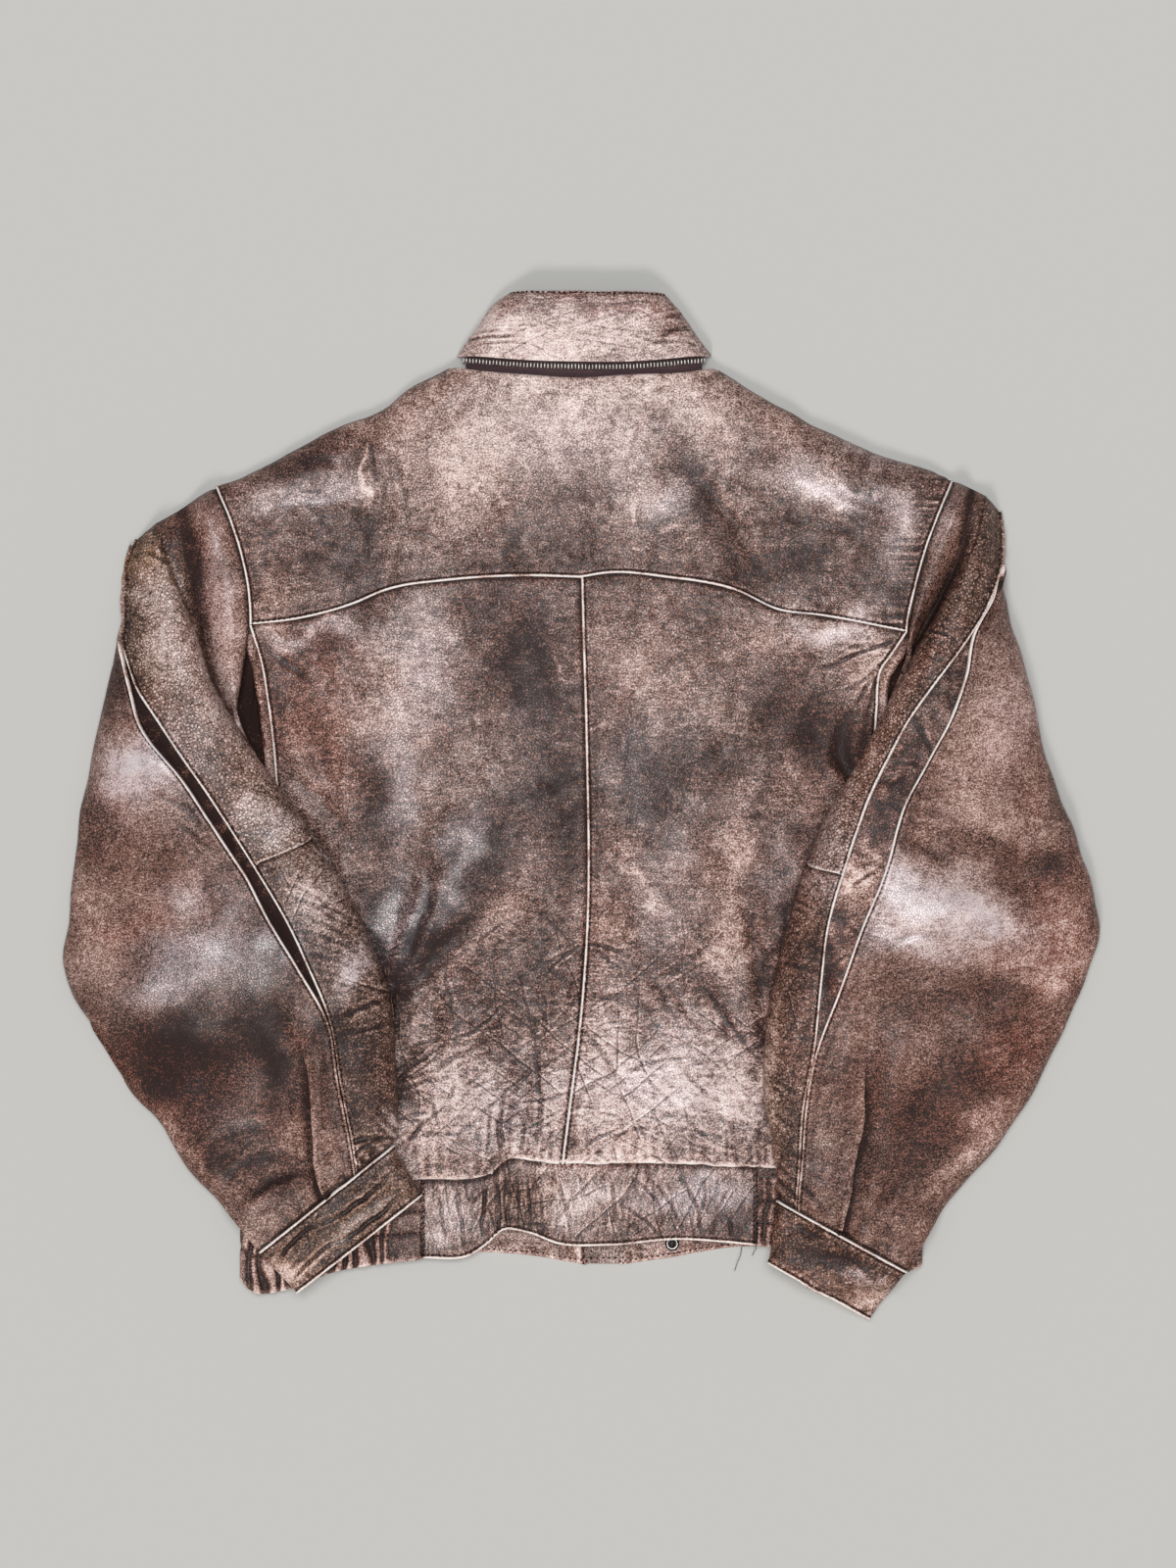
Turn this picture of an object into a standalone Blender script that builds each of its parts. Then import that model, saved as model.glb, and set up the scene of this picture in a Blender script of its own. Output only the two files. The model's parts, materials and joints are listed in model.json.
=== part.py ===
"""A worn leather jacket lying on its front, built from the pieces that it is cut and sewn from.

Metres, +Z up. +Y runs from the hem to the collar and X across the back; the jacket rests on z = 0.
Tables are in millimetres, as a pattern cutter writes them, and are scaled by MM where they are used.
"""

import bmesh
import bpy
import numpy as np

MM = 0.001
CENTRE = (-0.4, 0.0)  # middle of the whole outline, which becomes the origin
WALL = 1.5          # leather and lining together
SEAM_GAP = 0.3      # between neighbouring pieces
SEAM_SPREAD = 0.7   # the sleeve's front piece starts this far beyond its seam
REST_GAP = 2.5      # between a sleeve and the back that it lies on
SIDE_X = 243.0      # half the body's width at the side seams
WAIST_Y = -262.0    # seam between body and waistband
UNDERARM_Y = 62.0   # top of the side seams
PLEAT_TOP_Y = 116.0
SHOULDER_ROLL = 24.0  # how far in from the shoulder line the back starts to turn down
PLEAT_DROP = 4.0    # the pleat strips lie this far below the back panels
BAND_TOP = 9.5      # upper face of the waistband's back
BLOUSE_TOP = 12.7   # upper face of the back's lower edge, which hangs over the waistband
GUSSET_DROP = 3.0   # the sleeve gussets lie this far below the sleeve
CUFF_RISE = 12.0    # how far a cuff's upper side stands above its edges
CUFF_EDGE = 4.5     # how high a cuff's edges lie above what it rests on
THIN_WALL = 1.0     # soft pieces without lining: gussets and zip tape
ZIP_WALL = 1.2
PLEAT_LAP = 9.0     # how far a back panel laps over its pleat strip
BLOUSE_ROLL = 22.0  # how far in from its lower edge the back starts to turn down
COLLAR_ROLL = 18.0  # the same for the collar's two sides
PLEAT_ROLL = 16.0   # the same for the pleat strips at the side seams
PANEL_COLUMNS = 13  # points across each back panel

# How high the back stands off the floor: y, half width, height at the side, height in the middle
BACK_SECTIONS = (
    (320.0, 250.0, 10.0, 14.0),
    (225.0, 258.0, 13.0, 22.0),
    (150.0, 236.0, 19.0, 25.0),
    (100.0, 234.0, 17.0, 26.0),
    (40.0, 240.0, 10.0, 26.0),
    (-40.0, 243.0, 8.0, 25.0),
    (-120.0, 243.0, 8.0, 22.0),
    (-200.0, 243.0, 8.0, 18.0),
    (-262.0, 243.0, 9.0, 14.0),
)

# The largest soft folds on the body: from x, y to x, y, half width, height (a trough is negative)
BODY_FOLDS = (
    (-123.0, -45.0, -150.0, -120.0, 20.0, -7.0),
    (-143.0, 205.0, -141.0, 150.0, 16.0, -3.5),
    (74.0, 240.0, 128.0, 155.0, 22.0, -3.5),
    (82.0, -45.0, 120.0, -160.0, 18.0, 3.0),
    (-31.0, -170.0, -52.0, -240.0, 12.0, -3.0),
    (-70.0, -110.0, -92.0, -200.0, 16.0, 2.5),
)

# Outlines of the back, x, y
LEFT_SHOULDER = ((-257, 223), (-230, 235), (-202, 249), (-168, 268), (-150, 273), (-137, 279),
                 (-122, 292), (-93, 308))
NECK = ((-93, 308), (-64, 304), (-37, 302), (-2, 300), (32, 302), (74, 304), (97, 308))
RIGHT_SHOULDER = ((97, 308), (122, 289), (164, 267), (212, 246), (239, 237), (262, 228))
YOKE_SEAM_LEFT = ((-233, 126), (-199, 130), (-161, 140), (-137, 150), (-92, 157), (-37, 160), (0, 159))
YOKE_SEAM_RIGHT = ((0, 159), (19, 162), (60, 159), (108, 150), (139, 136), (170, 132), (229, 121))
# Each armhole runs from the shoulder past the corner of the yoke to the underarm
LEFT_ARMHOLE = ((-257, 223), (-246, 197), (-239, 175), (-234, 149), (-233, 126), (-236, 96), (-241, 66))
RIGHT_ARMHOLE = ((262, 228), (252, 205), (242, 178), (234, 149), (229, 121), (231, 107))
LEFT_PLEAT = ((-233, 126), (-226, 104), (-220, 70), (-215, 21), (-211, -60), (-207, -160), (-205, -262))
RIGHT_PLEAT = ((229, 121), (219, 106), (211, 94), (208, 68), (206, 10), (205, -80), (205, -262))
CENTRE_SEAM = ((0, 159), (1, 118), (3, 49), (3, -96), (-2, -158), (-9, -213), (-14, -253))
BLOUSE_LEFT = ((-205, -262), (-150, -264), (-112, -264), (-64, -260), (-50, -249), (-33, -251), (-14, -253))
BLOUSE_RIGHT = ((-14, -253), (60, -253), (122, -255), (160, -258), (205, -262))

# Collar and zip tape, x, y
ZIP_LINE = ((-88, 315), (-37, 311), (-2, 310), (32, 310), (92, 315))
COLLAR_TOP = ((-48, 362), (5, 362), (58, 361))
COLLAR_LEFT = ((-88, 316), (-75, 334), (-61, 353), (-48, 362))
COLLAR_RIGHT = ((92, 316), (79, 334), (68, 349), (58, 361))
COLLAR_HEIGHT = 17.0
TAPE_HEIGHT, TAPE_END = 12.5, 4.5

# Waistband, x, y
BAND_LEFT_X, BAND_RIGHT_X = -113.0, 124.0
BAND_HEM = ((-113, -319), (-78, -317), (-66, -309), (-54, -299), (-38, -301), (-16, -309), (19, -310),
            (67, -306), (124, -310))
LEFT_SIDE_HEM = ((-113, -320), (-147, -324), (-171, -328), (-209, -342), (-228, -343), (-238, -332),
                 (-225, -326), (-150, -318))
RIGHT_SIDE_HEM = ((124, -310), (160, -314), (200, -320), (228, -328), (241, -324), (225, -322), (150, -314))
FRONT_HEM_LEFT = ((-149.7, -316), (-66, -315), (-37, -317), (3.7, -324))
FRONT_HEM_RIGHT = ((27.3, -324), (60, -319), (112, -311), (149.7, -312))
PLACKET_X = (4.0, 27.0)
PLACKET_ENDS = (-323.0, 240.0)  # y of the placket's two ends
FRONT_ZIP = (-258.0, 232.0, 7.0)  # y of the zip's two ends, half its width
FRONT_INSET = 6.0   # the fronts' side edges lie this far inside the back's
NECK_FRONT = ((60.0, 262.0), (10.0, 243.0))  # the fronts' neck edge, from the shoulder to the placket
COLLAR_LEAF = ((84, 312), (70, 333), (50, 356), (12, 340), (8, 270), (46, 283))
COLLAR_SHIFT = 2.0  # the right leaf lies this far out
SNAP_AT = (64.0, -309.0)
# Section of the snap's ring: radius, height
SNAP_RING = ((2.6, 0.0), (5.0, 0.0), (5.0, 1.0), (4.2, 1.8), (3.2, 1.8), (2.6, 1.0))
SNAP_SIDES = 12
BAND_FOLD = 4.75    # radius at which the waistband's sides turn under
TURN_UNDER = (8.0, 30.0, 60.0)  # points of the turned-under part, from the fold inwards

# Sleeves: a row for each section from shoulder to wrist. lip is where the sleeve folds over the
# back, edge its outline, welt and gusset how far across the two seams run (0 lip, 1 edge), crown
# how far it rises and edge_z the height of its outline above what it lies on.
SLEEVE_COLUMNS = ("lip_x", "lip_y", "edge_x", "edge_y", "welt", "gusset", "crown", "edge_z")
LEFT_SLEEVE = (
    (-299, 198, -315, 185, 1.00, 1.00, 8, 1.0),
    (-285, 158, -322, 163, 1.00, 1.00, 15, 2.5),
    (-271, 125, -323, 125, 1.00, 1.00, 20, 4.0),
    (-260, 89, -331, 87, 0.767, 0.79, 24, 5.0),
    (-244, 59, -339, 56, 0.547, 0.67, 26, 5.0),
    (-223, 28, -348, 14, 0.392, 0.461, 28, 5.0),
    (-202, 1, -356, -30, 0.316, 0.369, 29, 5.5),
    (-181, -34, -360, -75, 0.261, 0.300, 30, 6.0),
    (-162, -65, -362, -124, 0.227, 0.270, 31, 6.0),
    (-146, -99, -342, -158, 0.230, 0.255, 31, 6.0),
    (-133, -137, -313, -205, 0.234, 0.234, 29, 6.0),
    (-130, -179, -285, -241, 0.248, 0.248, 26, 6.0),
    (-128, -220, -254, -279, 0.259, 0.259, 20, 6.0),
    (-132, -238, -226, -313, 0.27, 0.27, 11, 6.0),
)
RIGHT_SLEEVE = (
    (285, 217, 296, 204, 1.00, 1.00, 7, 1.0),
    (274, 180, 297, 179, 1.00, 1.00, 13, 2.5),
    (260, 152, 298, 152, 0.80, 0.80, 18, 4.0),
    (243, 124, 306, 121, 0.515, 0.515, 22, 5.0),
    (227, 94, 313, 90, 0.315, 0.48, 25, 5.0),
    (210, 61, 320, 61, 0.189, 0.426, 27, 5.0),
    (193, 28, 328, 32, 0.149, 0.352, 28, 5.5),
    (174, -3, 338, -3, 0.149, 0.300, 30, 6.0),
    (158, -41, 355, -46, 0.139, 0.274, 31, 6.0),
    (145, -82, 362, -99, 0.129, 0.228, 32, 6.0),
    (134, -127, 346, -144, 0.158, 0.210, 31, 6.0),
    (128, -168, 321, -195, 0.180, 0.180, 30, 6.0),
    (128, -206, 291, -239, 0.170, 0.170, 26, 6.0),
    (135, -241, 257, -282, 0.150, 0.150, 19, 6.0),
    (138, -277, 229, -327, 0.140, 0.140, 11, 6.0),
)
# The cap, for the sections that end at the armhole: how far down the armhole, how high the seam is,
# the valley between cap and strip (how far across, how high), and the height of the strip's fold
CAP_COLUMNS = ("seam", "seam_z", "valley", "valley_z", "fold_z")
LEFT_CAP = (
    (0.0, 14, 0.55, 15, 16),
    (0.22, 19, 0.66, 14, 19),
    (0.47, 20, 0.84, 10, 21),
    (0.75, 14, 0.92, 9, 22),
    (1.0, 11, 0.80, 10, 22),
)
RIGHT_CAP = (
    (0.0, 14, 0.55, 15, 16),
    (0.25, 19, 0.74, 13, 19),
    (0.47, 20, 0.84, 10, 21),
    (0.74, 19, 0.88, 9, 22),
    (1.0, 12, 0.80, 10, 21),
)
SLEEVES = {"left": (LEFT_SLEEVE, LEFT_CAP, LEFT_ARMHOLE), "right": (RIGHT_SLEEVE, RIGHT_CAP, RIGHT_ARMHOLE)}
GUSSET_ROWS = {"left": (2.6, 9.9), "right": (3.1, 10.9)}  # sections that the gussets reach
CAP_BULGE = 7.0
INNER_SEAM = 0.12   # how far in from the lip the underarm seam runs
# The elbow seam crosses the sections on a slant: row at the lip, row at the welt
ELBOW = {"left": (6.65, 7.0), "right": (8.0, 8.2)}
# The largest soft folds on the sleeves, laid out like those on the body
SLEEVE_FOLDS = (
    (-189.0, -186.0, -186.0, -255.0, 9.0, -5.0),
    (201.0, -165.0, 192.0, -265.0, 9.0, -5.0),
    (-150.0, -150.0, -120.0, -135.0, 12.0, -3.0),
)

# Cuffs: from the sleeve seam to the wrist, inner corner x, y and outer corner x, y
LEFT_CUFF = ((-132, -238, -226, -313), (-112, -275, -199, -343))
RIGHT_CUFF = ((138, -277, 229, -327), (131, -322, 202, -362))

# Leather and metal, as red, green, blue, roughness, metallic
FINISHES = {
    "brown_leather": (0.17, 0.095, 0.078, 0.5, 0.0),
    "olive_leather": (0.12, 0.085, 0.055, 0.5, 0.0),
    "pale_leather": (0.33, 0.21, 0.18, 0.55, 0.0),
    "dark_tape": (0.05, 0.03, 0.035, 0.8, 0.0),
    "nickel": (0.55, 0.54, 0.52, 0.35, 1.0),
}


# ---------------------------------------------------------------- curves and surfaces

def hermite(knots, values, at):
    """Values on a smooth curve through rows of values that stand at the knots."""
    knots, values = np.asarray(knots, float), np.asarray(values, float)
    at = np.clip(at, knots[0], knots[-1])
    slopes = np.gradient(values, knots, axis=0)
    i = np.clip(np.searchsorted(knots, at, side="right") - 1, 0, len(knots) - 2)
    step = knots[i + 1] - knots[i]
    t = (at - knots[i]) / step
    if values.ndim > 1:
        t, step = t[..., None], step[..., None]
    rise = values[i + 1] - values[i]
    smooth = t * t * (3 - 2 * t)
    return (values[i] + rise * smooth
            + step * (slopes[i] * t * (1 - t) ** 2 - slopes[i + 1] * t * t * (1 - t)))


def curve_length(points):
    """Length of the line through points."""
    return np.linalg.norm(np.diff(np.asarray(points, float), axis=0), axis=1).sum()


def along(points, t):
    """Points on a smooth curve through the given ones, for t from 0 to 1 of its length."""
    points = np.asarray(points, float)
    run = np.linalg.norm(np.diff(points, axis=0), axis=1)
    return hermite(np.concatenate([[0], np.cumsum(run)]) / run.sum(), points, np.asarray(t, float))


def armhole_edge(armhole, corner, t):
    """The yoke's part of an armhole, from its corner up to the shoulder."""
    share = curve_length(armhole[:armhole.index(corner) + 1]) / curve_length(armhole)
    return along(armhole, share * (1 - t))


def joined(curves, t):
    """The same along several curves laid end to end, which keeps the corners between them."""
    lengths = [curve_length(curve) for curve in curves]
    ends = np.concatenate([[0], np.cumsum(lengths)]) / sum(lengths)
    out = np.zeros((len(t), 2))
    for curve, start, end in zip(curves, ends, ends[1:]):
        inside = (t >= start) & (t <= end)
        out[inside] = along(curve, (t[inside] - start) / (end - start))
    return out


def patch(bottom, top, left, right, v):
    """Points filled in between four edges: bottom and top are rows, left and right are columns."""
    u = np.linspace(0, 1, len(bottom))[:, None]
    rows = []
    for i, share in enumerate(v):
        ruled = bottom * (1 - share) + top * share
        sides = left[i] * (1 - u) + right[i] * u
        corners = ((bottom[0] * (1 - u) + bottom[-1] * u) * (1 - share)
                   + (top[0] * (1 - u) + top[-1] * u) * share)
        rows.append(ruled + sides - corners)
    return np.array(rows)


def smoothstep(t):
    """0 below 0, 1 above 1, and an even curve between them."""
    t = np.clip(t, 0, 1)
    return t * t * (3 - 2 * t)


def distance_to(points, x, y):
    """How far x, y is from a line through points."""
    points = np.asarray(points, float)
    best = np.full(np.shape(x), 1e9)
    for (x0, y0), (x1, y1) in zip(points, points[1:]):
        dx, dy = x1 - x0, y1 - y0
        t = np.clip(((x - x0) * dx + (y - y0) * dy) / (dx * dx + dy * dy), 0, 1)
        best = np.minimum(best, np.hypot(x - x0 - t * dx, y - y0 - t * dy))
    return best


def folds(table, x, y):
    """Height that the soft folds of a table add at x, y."""
    total = np.zeros(np.shape(x))
    for x0, y0, x1, y1, half_width, height in table:
        away = distance_to(((x0, y0), (x1, y1)), x, y)
        total += height * np.exp(-(away / half_width) ** 2)
    return total


def turn_down(distance, roll):
    """Share of its full height that a surface has at a distance from the line where it meets the floor."""
    return np.sqrt(1 - (1 - np.clip(distance / roll, 0, 1)) ** 2)


def back_height(x, y):
    """Height of the outer face of the back."""
    table = np.array(BACK_SECTIONS[::-1])
    row = hermite(table[:, 0], table[:, 1:], np.asarray(y, float))
    half_width, rim, crown = row[..., 0], row[..., 1], row[..., 2]
    across = np.clip(np.abs(x) / half_width, 0, 1)
    height = rim + (crown - rim) * (1 - across ** 2.4)
    return height + folds(BODY_FOLDS, x, y)


def support(x, y):
    """Height of what a sleeve or cuff lies on: the back and the waistband, or the floor."""
    side = SIDE_X + 3 + 11 * smoothstep((UNDERARM_Y + 8 - y) / 14)
    beside = smoothstep((side - np.abs(x)) / 12)
    body = np.maximum(back_height(x, np.maximum(y, WAIST_Y)), BLOUSE_TOP + 1) + REST_GAP
    band = smoothstep((WAIST_Y - 3 - y) / 10)
    hem = np.where(x < 0, -350.0, -334.0)
    on_band = smoothstep((y - hem + 12) / 12)
    return (body * (1 - band) + (BAND_TOP + REST_GAP) * band) * beside * on_band


# ---------------------------------------------------------------- solids

def finish(name):
    """The material of a kind of leather or metal."""
    material = bpy.data.materials.get(name)
    if material is None:
        red, green, blue, roughness, metallic = FINISHES[name]
        material = bpy.data.materials.new(name)
        material.use_nodes = True
        shader = material.node_tree.nodes["Principled BSDF"]
        shader.inputs["Base Color"].default_value = (red, green, blue, 1)
        shader.inputs["Roughness"].default_value = roughness
        shader.inputs["Metallic"].default_value = metallic
    return material


def add_object(name, vertices, faces, material):
    """A named object from vertices in millimetres."""
    mesh = bpy.data.meshes.new(name)
    placed = (np.asarray(vertices, float) - (*CENTRE, 0.0)) * MM
    mesh.from_pydata([tuple(v) for v in placed], [], faces)
    work = bmesh.new()
    work.from_mesh(mesh)
    bmesh.ops.triangulate(work, faces=work.faces[:])
    bmesh.ops.recalc_face_normals(work, faces=work.faces[:])
    work.to_mesh(mesh)
    work.free()
    mesh.materials.append(finish(material))
    mesh.shade_smooth()
    mesh.set_sharp_from_angle(angle=np.radians(40))
    made = bpy.data.objects.new(name, mesh)
    bpy.context.collection.objects.link(made)
    return made


def grid_normals(grid, closed):
    """Unit normals of a grid of points, rows by columns."""
    down = np.gradient(grid, axis=0)
    if closed:
        across = (np.roll(grid, -1, axis=1) - np.roll(grid, 1, axis=1)) / 2
    else:
        across = np.gradient(grid, axis=1)
    normal = np.cross(down, across)
    length = np.linalg.norm(normal, axis=2, keepdims=True)
    return normal / np.maximum(length, 1e-9)


def trim(grid, closed):
    """The grid with its edges drawn in by half a seam gap."""
    grid = grid.copy()
    half = SEAM_GAP / 2

    def drawn(edge, inner):
        step = inner - edge
        return edge + step * (half / np.maximum(np.linalg.norm(step, axis=1, keepdims=True), 1e-9))

    grid[0], grid[-1] = drawn(grid[0], grid[1]), drawn(grid[-1], grid[-2])
    if not closed:
        grid[:, 0], grid[:, -1] = drawn(grid[:, 0], grid[:, 1]), drawn(grid[:, -1], grid[:, -2])
    return grid


def wall(name, grid, material, inward, closed=False, thickness=WALL):
    """A sheet of leather: the grid is its outer face, and inward is 1 or -1 along the grid's normals."""
    grid = trim(grid, closed)
    inner = grid + grid_normals(grid, closed) * inward * thickness
    inner[..., 2] = np.maximum(inner[..., 2], 0)
    rows, columns = grid.shape[:2]
    vertices = np.concatenate([grid.reshape(-1, 3), inner.reshape(-1, 3)])
    offset = rows * columns
    faces = []
    last = columns if closed else columns - 1
    for i in range(rows - 1):
        for j in range(last):
            k = (j + 1) % columns
            a, b, c, d = i * columns + j, i * columns + k, (i + 1) * columns + k, (i + 1) * columns + j
            faces.append((a, b, c, d))
            faces.append((a + offset, d + offset, c + offset, b + offset))
    for i in (0, rows - 1):
        for j in range(last):
            a, b = i * columns + j, i * columns + (j + 1) % columns
            faces.append((a, a + offset, b + offset, b) if i == 0 else (a, b, b + offset, a + offset))
    if not closed:
        for j in (0, columns - 1):
            for i in range(rows - 1):
                a, b = i * columns + j, (i + 1) * columns + j
                faces.append((a, b, b + offset, a + offset) if j == 0 else (a, a + offset, b + offset, b))
    return add_object(name, vertices, faces, material)


def plate(name, outline, low, high, material):
    """A flat piece between two heights, from its outline."""
    outline = np.asarray(outline, float)
    count = len(outline)
    vertices = [(x, y, low) for x, y in outline] + [(x, y, high) for x, y in outline]
    faces = [tuple(range(count))[::-1], tuple(range(count, 2 * count))]
    faces += [(i, (i + 1) % count, (i + 1) % count + count, i + count) for i in range(count)]
    return add_object(name, vertices, faces, material)


# ---------------------------------------------------------------- body

def lifted(plan, height):
    """Plan points with their heights."""
    return np.concatenate([plan, height[..., None]], axis=2)


def shoulder_share(x, y):
    """How the back turns down to the floor along both shoulder lines."""
    away = np.minimum(distance_to(LEFT_SHOULDER, x, y), distance_to(RIGHT_SHOULDER, x, y))
    return turn_down(away, SHOULDER_ROLL)


def make_yoke():
    """The yoke, from the seam across the back to the shoulders and the neck."""
    half = np.linspace(0, 1, PANEL_COLUMNS)
    middle = curve_length(YOKE_SEAM_LEFT) / (curve_length(YOKE_SEAM_LEFT) + curve_length(YOKE_SEAM_RIGHT))
    across = np.concatenate([middle * half, middle + (1 - middle) * half[1:]])
    up = np.array([0, 0.25, 0.5, 0.7, 0.82, 0.9, 0.96, 1])
    top = joined((LEFT_SHOULDER, NECK, RIGHT_SHOULDER), across)
    bottom = joined((YOKE_SEAM_LEFT, YOKE_SEAM_RIGHT), across)
    plan = patch(bottom, top, armhole_edge(LEFT_ARMHOLE, YOKE_SEAM_LEFT[0], up),
                 armhole_edge(RIGHT_ARMHOLE, YOKE_SEAM_RIGHT[-1], up), up)
    x, y = plan[..., 0], plan[..., 1]
    height = back_height(x, y) * shoulder_share(x, y)
    height[-1] = np.where(distance_to(NECK, x[-1], y[-1]) < 0.5, height[-1], 0.0)
    wall("back_yoke", lifted(plan, height), "brown_leather", 1)


def make_back_panels():
    """The two panels below the yoke, bloused over the waistband."""
    down = np.array([0, 0.1, 0.22, 0.34, 0.46, 0.58, 0.7, 0.82, 0.91, 0.96, 1])
    across = np.linspace(0, 1, PANEL_COLUMNS)
    for side, seam, pleat, blouse in (("left", YOKE_SEAM_LEFT, LEFT_PLEAT, BLOUSE_LEFT),
                                      ("right", YOKE_SEAM_RIGHT, RIGHT_PLEAT, BLOUSE_RIGHT)):
        first, last = (pleat, CENTRE_SEAM) if side == "left" else (CENTRE_SEAM, pleat)
        plan = patch(along(seam, across), along(blouse, across), along(first, down), along(last, down), down)
        x, y = plan[..., 0], plan[..., 1]
        to_hem = distance_to(blouse, x, y)
        height = back_height(x, y)
        height = BLOUSE_TOP + np.maximum(height - BLOUSE_TOP, 1.0) * turn_down(to_hem, BLOUSE_ROLL)
        wall("back_panel_" + side, lifted(plan, height), "brown_leather", -1)


def make_pleats():
    """The strip behind each panel's outer edge, which ends at the armhole and the side seam."""
    down = np.array([0, 0.08, 0.16, 0.24, 0.34, 0.48, 0.64, 0.82, 1])
    for side, sign, pleat in (("left", -1, LEFT_PLEAT), ("right", 1, RIGHT_PLEAT)):
        inner = along(pleat, down) - np.array([sign * PLEAT_LAP, 0])
        outer_y = np.linspace(PLEAT_TOP_Y, WAIST_Y, len(down))
        outer_x = np.interp(outer_y, (20, UNDERARM_Y, PLEAT_TOP_Y), (SIDE_X, SIDE_X - 16, SIDE_X - 19))
        outer = np.stack([sign * outer_x, outer_y], axis=1)
        share = np.array([0, 0.3, 0.6, 0.8, 0.92, 1])[None, :, None]
        plan = inner[:, None] * (1 - share) + outer[:, None] * share
        x, y = plan[..., 0], plan[..., 1]
        side_seam = smoothstep((UNDERARM_Y - 10 - y) / 25)
        fall = turn_down(SIDE_X + 0.01 - np.abs(x), PLEAT_ROLL)
        height = (back_height(x, y) - PLEAT_DROP) * (1 - side_seam + side_seam * fall)
        wall("back_pleat_" + side, lifted(plan, height), "brown_leather", -sign)


def make_fronts():
    """The fronts, flat on the floor, with placket and zip."""
    low, high = PLACKET_X
    left_edge, right_edge = low - SEAM_GAP, high + SEAM_GAP
    down = WAIST_Y + SEAM_GAP
    side = SIDE_X - FRONT_INSET
    corner, end = NECK_FRONT
    armhole = ((side, UNDERARM_Y), (side - 6, 110), (side - 6, 160), (252, 214))
    shoulder = ((240, 228), (200, 243), (160, 262), (136, 273), (112, 285), (90, 297))
    for name, sign, edge in (("left", -1, left_edge), ("right", 1, right_edge)):
        outline = [(edge, down), (sign * side, down)]
        outline += [(sign * x, y) for x, y in armhole + shoulder]
        outline += [(sign * corner[0] + end[0], corner[1]), (edge, end[1])]
        plate("front_panel_" + name, outline, 0, WALL, "brown_leather")
    bottom, top = PLACKET_ENDS
    plate("front_placket", ((low, bottom), (high, bottom), (high, top), (low, top)), 0, WALL, "brown_leather")
    middle = (low + high) / 2
    bottom, top, half = FRONT_ZIP
    outline = ((middle - half, bottom), (middle + half, bottom), (middle + half, top), (middle - half, top))
    plate("front_zip", outline, WALL + SEAM_GAP, WALL + SEAM_GAP + ZIP_WALL, "dark_tape")


def make_collar():
    """The collar folded flat: its back on top of its two front leaves, with the zip tape below it."""
    across = np.array([0, 0.015, 0.04, 0.09, 0.2, 0.35, 0.5, 0.65, 0.8, 0.91, 0.96, 0.985, 1])
    up = np.array([0, 0.2, 0.45, 0.7, 1])
    plan = patch(along(ZIP_LINE, across), along(COLLAR_TOP, across), along(COLLAR_LEFT, up),
                 along(COLLAR_RIGHT, up), up)
    x, y = plan[..., 0], plan[..., 1]
    away = np.minimum(distance_to(COLLAR_LEFT, x, y), distance_to(COLLAR_RIGHT, x, y))
    wall("collar_back", lifted(plan, COLLAR_HEIGHT * turn_down(away, COLLAR_ROLL)), "pale_leather", 1)
    for name, sign in (("left", -1), ("right", 1)):
        shift = COLLAR_SHIFT if sign > 0 else 0
        outline = [(sign * x + shift, y) for x, y in COLLAR_LEAF]
        plate("collar_front_" + name, outline, WALL + SEAM_GAP, 2 * WALL + SEAM_GAP, "pale_leather")
    low = np.stack([np.linspace(-81, 85, 11), 297 + 4 * np.linspace(-1, 1, 11) ** 2], axis=1)
    high = along(ZIP_LINE, across)
    high = np.stack([low[:, 0], np.interp(low[:, 0], high[:, 0], high[:, 1]) + 2.5], axis=1)
    plan = np.stack([low, (low + high) / 2, high])
    x = plan[..., 0]
    height = TAPE_END + (TAPE_HEIGHT - TAPE_END) * turn_down(86 - np.abs(x - 2), 40)
    wall("collar_zip_tape", lifted(plan, height), "dark_tape", 1, thickness=THIN_WALL)


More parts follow.
